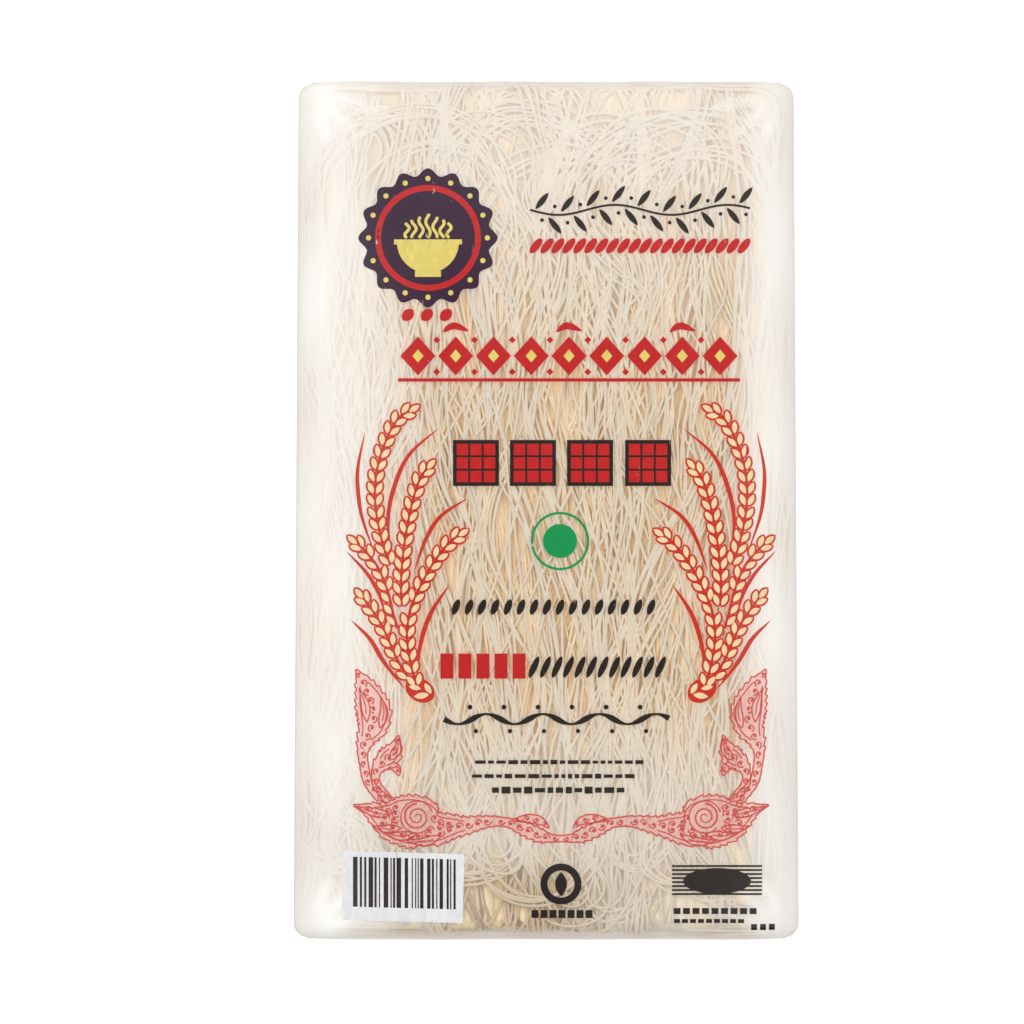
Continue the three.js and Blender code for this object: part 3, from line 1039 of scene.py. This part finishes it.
# Straight-sided lozenge: half its height falls evenly from the middle to both ends.
def lozenge(centre, width, height, tip=0.03, count=13, across=5):
    t = np.linspace(-1, 1, count)
    path = np.array(centre) + np.stack([t * width / 2, 0 * t], -1)
    return stroke(path, tip + height / 2 * (1 - np.abs(t)), across)


# A patch about a centre: the outline's distance for each angle, filled in rings.
def patch(centre, distance, start=0.0, sweep=2 * np.pi, count=97, rings=7, hub=0.002):
    angle = start + np.linspace(0, sweep, count)
    reach = np.broadcast_to(distance(angle), count)
    part = np.linspace(hub, 1, rings)[:, None]
    return onFace(np.array(centre) + towards(angle) * (part * reach)[..., None])


# A round patch, or a part of one.
def disc(centre, radius, start=0.0, sweep=2 * np.pi, rings=4, count=49):
    return patch(centre, lambda angle: radius, start, sweep, count, rings)


# An oval patch, turned as a whole.
def oval(centre, long, wide, turn=0.0):
    # Distance of the outline: 1 over the root of (cos a / long) squared plus (sin a / wide) squared.
    def reach(angle):
        return 1 / np.hypot(np.cos(angle - turn) / long, np.sin(angle - turn) / wide)

    return patch(centre, reach)


# A ring, or a part of one: a stroke along a circle.
def ring(centre, radius, width, start=0.0, sweep=2 * np.pi, count=73):
    angle = start + np.linspace(0, sweep, count)
    return stroke(np.array(centre) + radius * towards(angle), width / 2)


# A curl: a line that winds inwards from a radius to about a tenth of it, and thins on the way.
def curl(centre, radius, width, start, turns, count=40, winding=0.88, thinning=0.4):
    t = np.linspace(0, 1, count)
    reach = radius * (1 - winding * t)
    path = np.array(centre) + towards(start + 2 * np.pi * turns * t) * reach[:, None]
    return stroke(path, width / 2 * (1 - thinning * t))


# Bars in a row, at columns from a first up to a limit by a step.
def barRow(columns, row, size):
    return [bar((at, row), *size) for at in np.arange(*columns)]


# Leaves in such a row, all at one turn.
def leafRow(columns, row, size, turn, fullness):
    return [leaf((at, row), *size, turn, fullness) for at in np.arange(*columns)]


# Pixel places as arrays, mirrored about a column for the right-hand side.
def placed(knots, axis, flip):
    knots = np.array(knots, float)
    if flip:
        knots[..., 0] = 2 * axis - knots[..., 0]
    return knots


ricePlant = dict(
    axis=561,             # the two sheaves mirror each other about this column
    ears=[                # middle lines from tip to foot
        [(417, 407), (398, 419), (385, 443), (377, 470), (375, 497), (378, 523), (384, 548), (391, 566)],
        [(433, 462), (421, 477), (413, 500), (407, 528), (403, 556), (401, 584), (402, 606)],
        [(466, 531), (450, 542), (434, 562), (421, 585), (411, 608), (407, 634), (410, 660), (416, 684)],
        [(357, 591), (367, 603), (380, 622), (390, 643), (399, 663), (411, 682)],
        [(350, 538), (363, 549), (377, 566), (387, 589), (393, 613), (398, 630)],
    ],
    blades=[              # middle lines and widths
        ([(365, 432), (358, 467), (358, 490), (362, 517), (374, 552)], 4.0),
        ([(439, 428), (409, 455), (394, 488), (388, 520), (391, 550)], 4.4),
        ([(468, 498), (441, 516), (426, 539), (414, 572)], 4.0),
        ([(346, 551), (366, 572), (378, 592), (385, 613)], 3.8),
        ([(351, 620), (370, 639), (384, 662), (405, 689)], 4.4),
        ([(450, 584), (431, 613), (421, 642), (417, 672)], 4.6),
    ],
    foot=(420, 690),
    footSize=(15.5, 11.5, -0.55),   # half length, half width and turn of the foot
    footGrains=[((1.5, 5.6), 0.15, 15, 6.0), ((8.0, -1.6), -1.0, 12, 5.4), ((-5.0, -2.5), -0.2, 12, 4.8)],
    footFullness=0.75,
    stalk=1.5,            # half width of an ear's stalk
    lineSteps=160,
    stalkStep=4,          # the stalk uses every fourth of them
    grainGap=12.2,
    grainOff=4.2,         # distance of a grain's middle from the stalk
    grainAhead=2.0,       # and how far it is ahead of its place
    tipAhead=-3.0,        # the same for the grain at the tip
    grain=(15.6, 9.4),    # length and width of a grain's red outline
    grainFullness=0.6,
    kernel=(12.0, 5.4),   # the pale kernel inside it
    kernelFullness=0.8,
    lean=0.44,            # how far a grain turns out from the ear
    clearance=7.4,        # grains nearer than this to one already set are left out
)


# Ears of rice: pairs of grains set along each ear's middle line, leaning out, with one at the tip.
# Blades of grass stand between them, and an oval foot holds them together.
def riceSheaf(flip):
    hand = -1 if flip else 1
    orange, cream, taken = [], [], np.full((1, 2), np.inf)
    for knots in ricePlant["ears"]:
        line = smoothLine(placed(knots, ricePlant["axis"], flip), ricePlant["lineSteps"])
        run = runLength(line)
        orange.append(stroke(line[::ricePlant["stalkStep"]], ricePlant["stalk"]))
        for at in np.arange(0, run[-1], ricePlant["grainGap"]):
            i = min(np.searchsorted(run, at), len(line) - 2)
            heading = line[max(i - 2, 0)] - line[i + 1]
            turn = np.arctan2(-heading[1], heading[0])
            aside = np.array([np.sin(turn), np.cos(turn)])
            for side in ((0,) if at == 0 else (-1, 1)):
                ahead = ricePlant["grainAhead"] if side else ricePlant["tipAhead"]
                centre = line[i] + ricePlant["grainOff"] * side * aside + ahead * towards(turn)
                lean = turn - side * ricePlant["lean"]
                if np.linalg.norm(taken - centre, axis=1).min() < ricePlant["clearance"]:
                    continue
                taken = np.vstack([taken, centre])
                orange.append(leaf(centre, *ricePlant["grain"], lean, ricePlant["grainFullness"]))
                cream.append(leaf(centre, *ricePlant["kernel"], lean, ricePlant["kernelFullness"]))
    for knots, width in ricePlant["blades"]:
        orange.append(blade(placed(knots, ricePlant["axis"], flip), width))
    foot = placed(ricePlant["foot"], ricePlant["axis"], flip)
    long, wide, lean = ricePlant["footSize"]
    orange.append(oval(foot, long, wide, hand * lean))
    for shift, turn, length, width in ricePlant["footGrains"]:
        centre = foot + np.array(shift) * (hand, 1)
        cream.append(leaf(centre, length, width, turn * hand, ricePlant["footFullness"]))
    return dict(printOrange=orange, printCream=cream)


scrollBorder = dict(
    axis=561,
    line=1.5,
    bodies=[              # middle lines from the tip on, half widths, and how many curls fill a width
        ([(356, 669), (365, 686), (371, 702), (374, 714), (372, 727), (366, 739), (363, 751), (364, 764),
          (369, 783), (388, 804.5)], [0.4, 9, 15, 16, 13.5, 8, 5, 4.2, 4.4, 5.5], 0.55),
        ([(399, 735), (395, 748), (389, 757), (381, 764), (376, 773), (377, 785), (391, 803)],
         [0.4, 6.5, 10, 7, 4.2, 4, 4.5], 1.15),
        ([(399, 776), (397, 769), (391, 764)], [0.4, 3.8, 3], 1.15),
        ([(353, 805), (368, 809.5), (380, 815), (391, 819), (407, 821), (422, 823), (436, 828), (452, 826.5),
          (465, 825.5), (484, 822), (497, 821)], [0.4, 6, 13, 20.5, 25, 24, 16.5, 11.5, 8, 5.4, 4.6], 1.15),
        ([(495.6, 821), (510, 823), (523, 828), (539, 835), (550, 838), (561, 838.5)],
         [4.4, 4.4, 6, 6, 4, 3], 1.15),
        ([(549, 828), (541, 821), (528, 818.5), (514, 820)], [0.4, 3.6, 4, 1], 1.15),
    ],
    bodySteps=280,
    leastHalf=0.4,
    fieldStep=4,          # the field uses every fourth station
    fieldAcross=7,        # and has this many points across
    tooth=(2.6, 7.5),     # height and spacing of the flame teeth along an edge
    toothShape=(1.4, 0.25),   # how quickly a tooth dies away, and how far the two edges are out of step
    toothFrom=(3.2, 7),   # half widths where teeth start and where they are whole
    inside=3.6,           # distance of the inner line from an edge
    insideFrom=2.2,       # it runs where half the width is over this many such distances
    insideWidth=0.45,     # half its width, in line widths
    insideLeast=8,        # and has more stations than this, of which it uses every third
    insideStep=3,
    narrowEdge=0.6,       # distance of the curls from an edge with no inner line
    curl=4.1,             # radius of the small curls
    curlRows=(6, 3),      # bare stretch before the first row of curls and after the last
    curlGap=2.3,          # distance between two rows, in curl radii
    curlFit=0.8,          # most of a curl's radius, in half widths
    curlWidth=1.6,
    curlTurns=1.1,
    curlFan=1.5,          # how far the curls at the edges are turned
    curlSteps=18,
    bud=(0.6, 0.7, 7),    # width in radii, fullness and stations of the leaf in a curl
    flames=[              # middle lines of the flame leaves laid along the outer edges, from the tip on
        [(355, 806), (373, 812), (390, 815)], [(372, 826), (386, 829), (401, 828)],
        [(383, 832), (399, 836), (417, 834)], [(404, 840), (423, 842), (441, 836)],
        [(359, 688), (365, 704), (367, 722)], [(381, 697), (384, 712), (380, 728)],
        [(399, 738), (397, 750), (389, 760)],
    ],
    flame=8.5,            # width of a flame leaf
    flameShape=(1.4, 0.9),    # how far its widest place is from its tip, and its fullness
    flameSteps=30,
    flameVein=(6, 24, 0.4),   # first and last station of its vein, and half the vein's width in lines
    spiral=(417, 817),
    spiralRadius=13.5,
    spiralLine=(2.0, 2.2, 90),   # width, turns and stations
    spiralRing=(2.6, 1.4, 0.3, 5.2),   # distance outside the spiral, width, start and sweep
)


# Flame teeth, which rise at once and die away slowly, on both edges of a field, and a line inside each.
def scrollEdges(path, half, aside, run):
    height, gap = scrollBorder["tooth"]
    fall, lag = scrollBorder["toothShape"]
    wide = half > scrollBorder["insideFrom"] * scrollBorder["inside"]
    lines = []
    for side in (-1, 1):
        teeth = height * (1 - (run / gap + lag * side) % 1) ** fall * ease(half, *scrollBorder["toothFrom"])
        lines.append(stroke(path + side * aside * (half + teeth)[:, None], scrollBorder["line"] / 2))
        inner = (path + side * aside * (half - scrollBorder["inside"])[:, None])[wide]
        if len(inner) > scrollBorder["insideLeast"]:
            inner = inner[::scrollBorder["insideStep"]]
            lines.append(stroke(inner, scrollBorder["insideWidth"] * scrollBorder["line"]))
    return lines


# Rows of curls that fill a field, each with a bud, wound to the left and right by turns.
def scrollCurls(path, half, aside, run, fill, spiral, hand):
    size = scrollBorder["curl"]
    wide = half > scrollBorder["insideFrom"] * scrollBorder["inside"]
    room = np.maximum(half - np.where(wide, scrollBorder["inside"], scrollBorder["narrowEdge"]), 0)
    heading = np.arctan2(aside[:, 0], aside[:, 1])
    first, last = scrollBorder["curlRows"]
    budWidth, budFullness, budSteps = scrollBorder["bud"]
    width, steps = scrollBorder["curlWidth"], scrollBorder["curlSteps"]
    lines = []
    places = np.arange(first, run[-1] - last, scrollBorder["curlGap"] * size)
    for row, i in enumerate(np.searchsorted(run, places)):
        count = max(int(fill * room[i] / size), 1)
        radius = min(size, scrollBorder["curlFit"] * half[i])
        for at in np.linspace(-1, 1, count + 2)[1:-1]:
            centre = path[i] + at * room[i] * aside[i]
            if np.linalg.norm(centre - spiral) < scrollBorder["spiralRadius"] + size:
                continue
            turns = scrollBorder["curlTurns"] * (1 if (row + (at > 0)) % 2 else -1) * hand
            start = heading[i] + scrollBorder["curlFan"] * at
            lines.append(curl(centre, radius, width, start, turns, steps))
            lines.append(leaf(centre, radius, budWidth * radius, heading[i] + at, budFullness, budSteps))
    return lines


# A flame leaf: two lines that swell apart from the tip and meet again, with a vein between them.
def scrollFlame(path):
    early, fullness = scrollBorder["flameShape"]
    t = np.linspace(0, 1, scrollBorder["flameSteps"])
    swell = scrollBorder["flame"] / 2 * np.sin(np.pi * t**early) ** fullness
    offset = besides(path) * swell[:, None]
    first, last, vein = scrollBorder["flameVein"]
    lines = [stroke(path + side * offset, scrollBorder["line"] / 2) for side in (-1, 1)]
    return lines + [stroke(path[first:last], vein * scrollBorder["line"])]


# Scroll border: each field is a stroke of changing width, with teeth, curls and flame leaves.
# A spiral stands in the corner.
def scrollSide(flip):
    hand = -1 if flip else 1
    axis, steps = scrollBorder["axis"], scrollBorder["bodySteps"]
    spiral = placed(scrollBorder["spiral"], axis, flip)
    lines, fields = [], []
    for knots, halves, fill in scrollBorder["bodies"]:
        path = smoothLine(placed(knots, axis, flip), steps)
        half = np.maximum(smoothLine(halves, steps), scrollBorder["leastHalf"])
        step = scrollBorder["fieldStep"]
        fields.append(stroke(path[::step], half[::step], scrollBorder["fieldAcross"]))
        aside, run = besides(path), runLength(path)
        lines += scrollEdges(path, half, aside, run)
        lines += scrollCurls(path, half, aside, run, fill, spiral, hand)
    for knots in scrollBorder["flames"]:
        lines += scrollFlame(smoothLine(placed(knots, axis, flip), scrollBorder["flameSteps"]))
    width, turns, steps = scrollBorder["spiralLine"]
    lines.append(curl(spiral, scrollBorder["spiralRadius"], width, np.pi / 2, turns * hand, steps))
    off, width, start, sweep = scrollBorder["spiralRing"]
    lines.append(ring(spiral, scrollBorder["spiralRadius"] + off, width, start, sweep))
    return dict(printRose=lines, printBlush=fields)


medallion = dict(
    centre=(428, 238),
    radius=66,
    lobes=16,
    lobeDepth=0.055,
    fieldSteps=(257, 13),     # stations round the field, and rings in it
    ring=(50, 6),             # radius and width
    ringSteps=121,
    bowlDrop=4,               # how far under the centre the bowl's brim is
    bowlRadius=31,
    bowlRings=7,
    brim=(68, 5),             # length and height
    bowlFoot=(26, 6, 32),     # length, height and distance under the brim
    noodles=(-3, 4),          # numbers of the noodles, counted from the middle one
    noodleGap=7,
    noodleWave=(2.2, 7),      # how far a noodle sways, and how often
    noodleRise=(4, 24, 3),    # start over the brim, height, and how much lower each one further out is
    noodleHalf=1.5,
    noodleSteps=30,
    dots=(0.90, 2.6),         # distance from the centre in radii, and radius
    leafColumns=(408, 427, 446),
    leafRow=315,
    leaf=(15, 11, 0.8, 0.6),  # length, width, turn and fullness
)


# Medallion: a scalloped field with a ring, a bowl of noodles and a dot in each lobe, and three leaves
# under it.
def medallionInks():
    centre = np.array(medallion["centre"], float)
    radius, lobes = medallion["radius"], medallion["lobes"]

    # Distance of the outline: radius times (1 + depth * cos(lobes * angle)).
    def scallop(angle):
        return radius * (1 + medallion["lobeDepth"] * np.cos(lobes * angle))

    count, rings = medallion["fieldSteps"]
    violet = [patch(centre, scallop, count=count, rings=rings)]
    red = [ring(centre, *medallion["ring"], count=medallion["ringSteps"])]
    bowl = centre + np.array([0, medallion["bowlDrop"]])
    footLength, footHeight, footDrop = medallion["bowlFoot"]
    yellow = [disc(bowl, medallion["bowlRadius"], np.pi, np.pi, medallion["bowlRings"])]
    yellow.append(bar(bowl, *medallion["brim"]))
    yellow.append(bar(bowl + (0, footDrop), footLength, footHeight))
    t = np.linspace(0, 1, medallion["noodleSteps"])
    sway, often = medallion["noodleWave"]
    start, height, lower = medallion["noodleRise"]
    for i in range(*medallion["noodles"]):
        x = bowl[0] + medallion["noodleGap"] * i + sway * np.sin(often * t + i)
        y = bowl[1] - start - (height - abs(i) * lower) * t
        yellow.append(stroke(np.stack([x, y], -1), medallion["noodleHalf"]))
    reach, dot = medallion["dots"]
    for angle in np.arange(lobes) * 2 * np.pi / lobes:
        yellow.append(disc(centre + radius * reach * np.array([np.cos(angle), np.sin(angle)]), dot))
    red += [leaf((at, medallion["leafRow"]), *medallion["leaf"]) for at in medallion["leafColumns"]]
    return dict(printViolet=violet, printRed=red, printYellow=yellow)


garland = dict(
    columns=(530, 750),
    row=210,
    vineHalf=1.1,
    vineWave=(5, 18),         # height and length of the vine's waves
    vineSteps=120,
    leaves=17,
    margin=8,
    shift=4,                  # how far leaves and berries are past their places
    leaf=(21, 6, 0.9, 0.7),   # length, width, turn and fullness
    leafOff=11,               # distance from the vine
    berry=(1.9, 8),           # radius and distance from the vine
    cordRow=246,
    cordTwists=20,
    cordMargin=6,
    cordTwist=(19, 8, 0.9, 0.45),
)


# Garland: a sine vine with leaves and berries on its two sides by turns, over a cord of slanted twists.
def garlandInks():
    left, right = garland["columns"]
    height, length = garland["vineWave"]

    # Row of the vine at a column: a sine wave.
    def vine(at):
        return garland["row"] + height * np.sin((at - left) / length)

    x = np.linspace(left, right, garland["vineSteps"])
    dark = [stroke(np.stack([x, vine(x)], -1), garland["vineHalf"])]
    long, wide, turn, fullness = garland["leaf"]
    berry, berryOff = garland["berry"]
    margin = garland["margin"]
    for i, at in enumerate(np.linspace(left + margin, right - margin, garland["leaves"])):
        side = 1 if i % 2 else -1
        column = at + garland["shift"]
        row = vine(at)
        dark.append(leaf((column, row + side * garland["leafOff"]), long, wide, -side * turn, fullness))
        dark.append(disc((column, row - side * berryOff), berry))
    margin = garland["cordMargin"]
    red = [leaf((at, garland["cordRow"]), *garland["cordTwist"])
           for at in np.linspace(left + margin, right - margin, garland["cordTwists"])]
    return dict(printDark=dark, printRed=red)


frieze = dict(
    columns=(398, 740),
    row=356,
    lozenges=9,
    margin=20,
    lozenge=(35, 39),
    eye=(11, 13),                 # the pale lozenge inside
    stud=(5, (-16, 16), 19),      # size, distances over and under the row, and distance before a lozenge
    line=(24, 3.4),               # distance of the line under the row, and its width
    arcsOver=(1, 4, 7),           # lozenges with an arc over them
    arc=[(-13, -24), (-2, -30), (13, -25)],   # from the middle of such a lozenge
    arcWidth=7,
)


# Frieze: lozenges in a row with pale eyes, small studs between them, a line under them and three arcs.
def friezeInks():
    left, right = frieze["columns"]
    row, margin = frieze["row"], frieze["margin"]
    drop, width = frieze["line"]
    stud, rises, before = frieze["stud"]
    red, yellow = [bar(((left + right) / 2, row + drop), right - left, width)], []
    for i, at in enumerate(np.linspace(left + margin, right - margin, frieze["lozenges"])):
        red.append(lozenge((at, row), *frieze["lozenge"]))
        yellow.append(lozenge((at, row), *frieze["eye"]))
        if i:
            red += [bar((at - before, row + rise), stud, stud, np.pi / 4) for rise in rises]
        if i in frieze["arcsOver"]:
            red.append(blade(np.array(frieze["arc"]) + (at, row), frieze["arcWidth"]))
    return dict(printRed=red, printYellow=yellow)


tiles = dict(columns=(476, 533, 590, 648), row=463, size=46, square=11.5, offsets=(-13.5, 0, 13.5))


# Tiles: dark squares, each with three by three red ones in it.
def tileInks():
    dark, red = [], []
    for column in tiles["columns"]:
        dark.append(bar((column, tiles["row"]), tiles["size"], tiles["size"]))
        red += [bar((column + x, tiles["row"] + y), tiles["square"], tiles["square"])
                for x in tiles["offsets"] for y in tiles["offsets"]]
    return dict(printDark=dark, printRed=red)


# Columns are a first, a limit and a step.
lowerRows = dict(
    seed=51,
    grains=dict(columns=(456, 664, 13), row=607, size=(17, 7), turn=1.2, fullness=0.55),
    blocks=dict(columns=(447, 520, 18), row=666, size=(13, 25)),
    slants=dict(columns=(534, 668, 11.5), row=667, size=(24, 6.5), turn=1.15, fullness=0.5),
    wave=(444, 669, 719),         # first and last column and row
    waveForm=(5, 9, 2.0, 0.9),    # height, length, half width and how much that changes
    waveSteps=140,
    beadColumns=(470, 660, 34),
    beads=((0, 707, 2.4), (6, 731, 2.2)),   # shift, row and radius of the beads over and under the wave
    dashes=((475, 638, 762, 4.6), (472, 636, 776, 5.2), (492, 622, 790, 7)),   # columns, row and height
    dashLengths=(4, 11),
    dashHeights=(0.6, 1),
    dashGap=2.5,
)


# Rows of the lower half: slanted grains, red blocks and slants, a wave that swells and thins with beads
# over and under it, and three rows of dashes of random lengths.
def rowInks():
    rng = np.random.default_rng(lowerRows["seed"])
    dark = leafRow(**lowerRows["grains"]) + leafRow(**lowerRows["slants"])
    left, right, row = lowerRows["wave"]
    height, length, half, change = lowerRows["waveForm"]
    x = np.linspace(left, right, lowerRows["waveSteps"])
    wave = np.stack([x, row + height * np.sin((x - left) / length)], -1)
    dark.append(stroke(wave, half + change * np.cos((x - left) / (length / 2))))
    for at in np.arange(*lowerRows["beadColumns"]):
        dark += [disc((at + shift, row), radius) for shift, row, radius in lowerRows["beads"]]
    for left, right, row, height in lowerRows["dashes"]:
        at = left
        while at < right:
            wide = rng.uniform(*lowerRows["dashLengths"])
            dark.append(bar((at + wide / 2, row), wide, height * rng.uniform(*lowerRows["dashHeights"])))
            at += wide + lowerRows["dashGap"]
    return dict(printDark=dark, printRed=barRow(**lowerRows["blocks"]))


label = dict(
    seed=52,
    centre=(403, 887),
    size=(121, 69),
    turn=-0.026,
    steps=(61, 37),
    barColumns=(353, 457),
    barRows=(858, 908),
    barWidths=(1.2, 2.2, 3.4, 4.6),
    barGaps=(1.3, 2.2, 3.6),
)


# Label: a white field, a little turned, with upright bars of random widths and gaps.
def labelInks():
    rng = np.random.default_rng(label["seed"])
    long, high = label["size"]
    stations, across = label["steps"]
    run = long * np.linspace(-0.5, 0.5, stations)[:, None]
    white = [stroke(np.array(label["centre"]) + run * towards(label["turn"]), high / 2, across)]
    top, bottom = label["barRows"]
    at, right = label["barColumns"]
    dark = []
    while at < right:
        wide = rng.choice(label["barWidths"])
        row = (top + bottom) / 2 - np.tan(label["turn"]) * (at - label["centre"][0])
        dark.append(bar((at + wide / 2, row), bottom - top, wide, np.pi / 2))
        at += wide + rng.choice(label["barGaps"])
    return dict(printDark=dark, printWhite=white)


footMarks = dict(
    ringCentre=(561, 884),
    ring=(17, 7),                 # radius and width
    ringLeaf=(24, 12, np.pi / 2), # length, width and turn
    ringRow=dict(columns=(535, 590, 9), row=914, size=(7, 8)),
    ovalCentre=(717, 881),
    oval=(34, 13),                # half length and half width
    stripeRows=(866, 898, 4.0),
    stripe=(90, 2.0),
    ovalRows=[
        dict(columns=(677, 760, 9.5), row=911, size=(7, 6)),
        dict(columns=(677, 745, 8), row=921, size=(6, 4)),
        dict(columns=(754, 773, 9), row=927, size=(6, 6)),
    ],
)


# Marks by the tail: a ring with a leaf, and an oval on stripes, each over rows of short bars.
def markInks():
    dark = [ring(footMarks["ringCentre"], *footMarks["ring"])]
    dark.append(leaf(footMarks["ringCentre"], *footMarks["ringLeaf"]))
    dark += barRow(**footMarks["ringRow"])
    column = footMarks["ovalCentre"][0]
    dark += [bar((column, row), *footMarks["stripe"]) for row in np.arange(*footMarks["stripeRows"])]
    dark.append(oval(footMarks["ovalCentre"], *footMarks["oval"]))
    for bars in footMarks["ovalRows"]:
        dark += barRow(**bars)
    return dict(printDark=dark)


greenSpot = dict(centre=(560, 541), radius=17, ring=(28, 2.4))


# The green spot: a disc with a ring round it.
def spotInks():
    return dict(printGreen=[disc(greenSpot["centre"], greenSpot["radius"]),
                            ring(greenSpot["centre"], *greenSpot["ring"])])


# Depth under the film, colour and slot of each ink, and how much of what lies under it an ink hides.
inks = dict(
    printYellow=dict(depth=0.00003, colour=(0.88, 0.71, 0.17), slot="ink_yellow"),
    printCream=dict(depth=0.00003, colour=(1.0, 0.78, 0.45), slot="ink_yellow"),
    printRed=dict(depth=0.00005, colour=(0.62, 0.011, 0.012), slot="ink_red"),
    printOrange=dict(depth=0.00005, colour=(0.68, 0.030, 0.013), slot="ink_red"),
    printDark=dict(depth=0.00007, colour=(0.018, 0.009, 0.006), slot="ink_dark"),
    printViolet=dict(depth=0.00007, colour=(0.038, 0.006, 0.036), slot="ink_dark"),
    printGreen=dict(depth=0.00007, colour=(0.0, 0.34, 0.085), slot="ink_green"),
    printRose=dict(depth=0.00007, colour=(0.72, 0.095, 0.085), slot="ink_rose"),
    printBlush=dict(depth=0.00009, colour=(0.98, 0.50, 0.47), slot="ink_rose", cover=0.25),
    printWhite=dict(depth=0.00011, colour=(0.94, 0.94, 0.96), slot="ink_white"),
)
inkLook = dict(
    thickness=0.00001,
    roughness=0.5,
    specular=0.15,
    grain=dict(amount=0.16, scale=700, stretch=(1.0, 0.5, 1.0), depth=0.00001),
)


# Joins an ink's grids into one thin piece that lies just under the film.
def inkPiece(name, grids, depth):
    starts = np.concatenate([[0], np.cumsum([g.shape[0] * g.shape[1] for g in grids])])
    faces = [gridQuads(start + np.arange(g.shape[0] * g.shape[1]).reshape(g.shape[:2]))
             for start, g in zip(starts, grids)]
    flat = np.concatenate([g.reshape(-1, 2) for g in grids])
    height = filmTop(flat[:, 0], flat[:, 1]) - depth
    made = meshObject(name, np.column_stack([flat, height]), [np.concatenate(faces)], False)
    body = made.modifiers.new("inkThickness", "SOLIDIFY")
    body.thickness = inkLook["thickness"]
    body.offset = -1
    made.visible_shadow = False
    return made


# Ink: one colour, mottled, with scuffs worn through it. A thin ink is see-through all over instead.
def inkFinish(name, colour, cover):
    material, nodes, links, shader = newMaterial(name)
    effect = mottled(nodes, links, shader, **inkLook["grain"])
    setInputs(effect, Colour=colour + (1,))
    if cover:
        setInputs(shader, Alpha=cover)
    else:
        wire(links, (effect, "Cover", shader, "Alpha"))
    setInputs(shader, Roughness=inkLook["roughness"], Specular_IOR_Level=inkLook["specular"])
    return material


motifs = [
    medallionInks(), riceSheaf(False), riceSheaf(True), garlandInks(), tileInks(), rowInks(), friezeInks(),
    labelInks(), markInks(), spotInks(), scrollSide(False), scrollSide(True),
]
for name, ink in inks.items():
    grids = [grid for motif in motifs for grid in motif.get(name, [])]
    finish = inkFinish(name + "Ink", ink["colour"], ink.get("cover"))
    dress(inkPiece(name, grids, ink["depth"]), finish)
print("print laid under the film")

studio = dict(
    softboxes=[           # name, place, size and power
        ("softboxLeft", (-0.75, 0.55, 1.30), (0.9, 1.5), 8.2),
        ("softboxRight", (0.80, 0.50, 1.30), (0.8, 1.5), 5.4),
    ],
    air=0.50,             # light from all round
    floorReach=3.0,
    floorDrop=0.0005,     # how far the floor is under the block
    floorShade=(0.45, 0.45, 0.45, 1),
    floorRoughness=0.8,
    floorGlow=(0.30, 0.80),   # for light that bounces, and as the camera sees it
)


# The camera looks straight down from the photograph's distance.
def addCamera():
    data = bpy.data.cameras.new("camera")
    data.lens = photo["lens"]
    data.sensor_width = photo["sensor"]
    camera = bpy.data.objects.new("camera", data)
    camera.location = (*photo["axis"], wrap["rimTop"] / 2 + photo["distance"])
    bpy.context.scene.collection.objects.link(camera)
    bpy.context.scene.camera = camera


# A rectangular area light that is turned to the middle of the shown face.
def addSoftbox(name, place, size, power):
    data = bpy.data.lights.new(name, "AREA")
    data.shape = "RECTANGLE"
    data.size, data.size_y = size
    data.energy = power
    box = bpy.data.objects.new(name, data)
    box.location = place
    aim = Vector((0, 0, wrap["rimTop"]))
    box.rotation_euler = (box.location - aim).to_track_quat("Z", "Y").to_euler()
    bpy.context.scene.collection.objects.link(box)


# A pale floor just under the block, a flat square that glows so that it looks white.
def addFloor():
    reach, drop = studio["floorReach"], studio["floorDrop"]
    corners = np.array([[-reach, -reach, 0], [reach, -reach, 0], [reach, reach, 0], [-reach, reach, 0]])
    floor = meshObject("floor", corners - np.array([0, 0, drop]), [np.array([[0, 1, 2, 3]])], False)
    material, nodes, links, shader = newMaterial("paleFloor")
    setInputs(shader, Base_Color=studio["floorShade"], Roughness=studio["floorRoughness"],
              Emission_Color=(1, 1, 1, 1))
    seen = newNode(nodes, "LightPath")
    glow = newNode(nodes, "MapRange")
    bounced, shown = studio["floorGlow"]
    setInputs(glow, To_Min=bounced, To_Max=shown)
    wire(links, (seen, "Is Camera Ray", glow, "Value"), (glow, "Result", shader, "Emission Strength"))
    floor.data.materials.append(material)


# Even white light from all round.
def addAir():
    world = bpy.data.worlds.new("studioAir")
    world.use_nodes = True
    setInputs(world.node_tree.nodes["Background"], Color=(1, 1, 1, 1), Strength=studio["air"])
    bpy.context.scene.world = world


addCamera()
for softbox in studio["softboxes"]:
    addSoftbox(*softbox)
addAir()
addFloor()
bpy.context.scene.view_settings.view_transform = "Standard"
print("studio set")
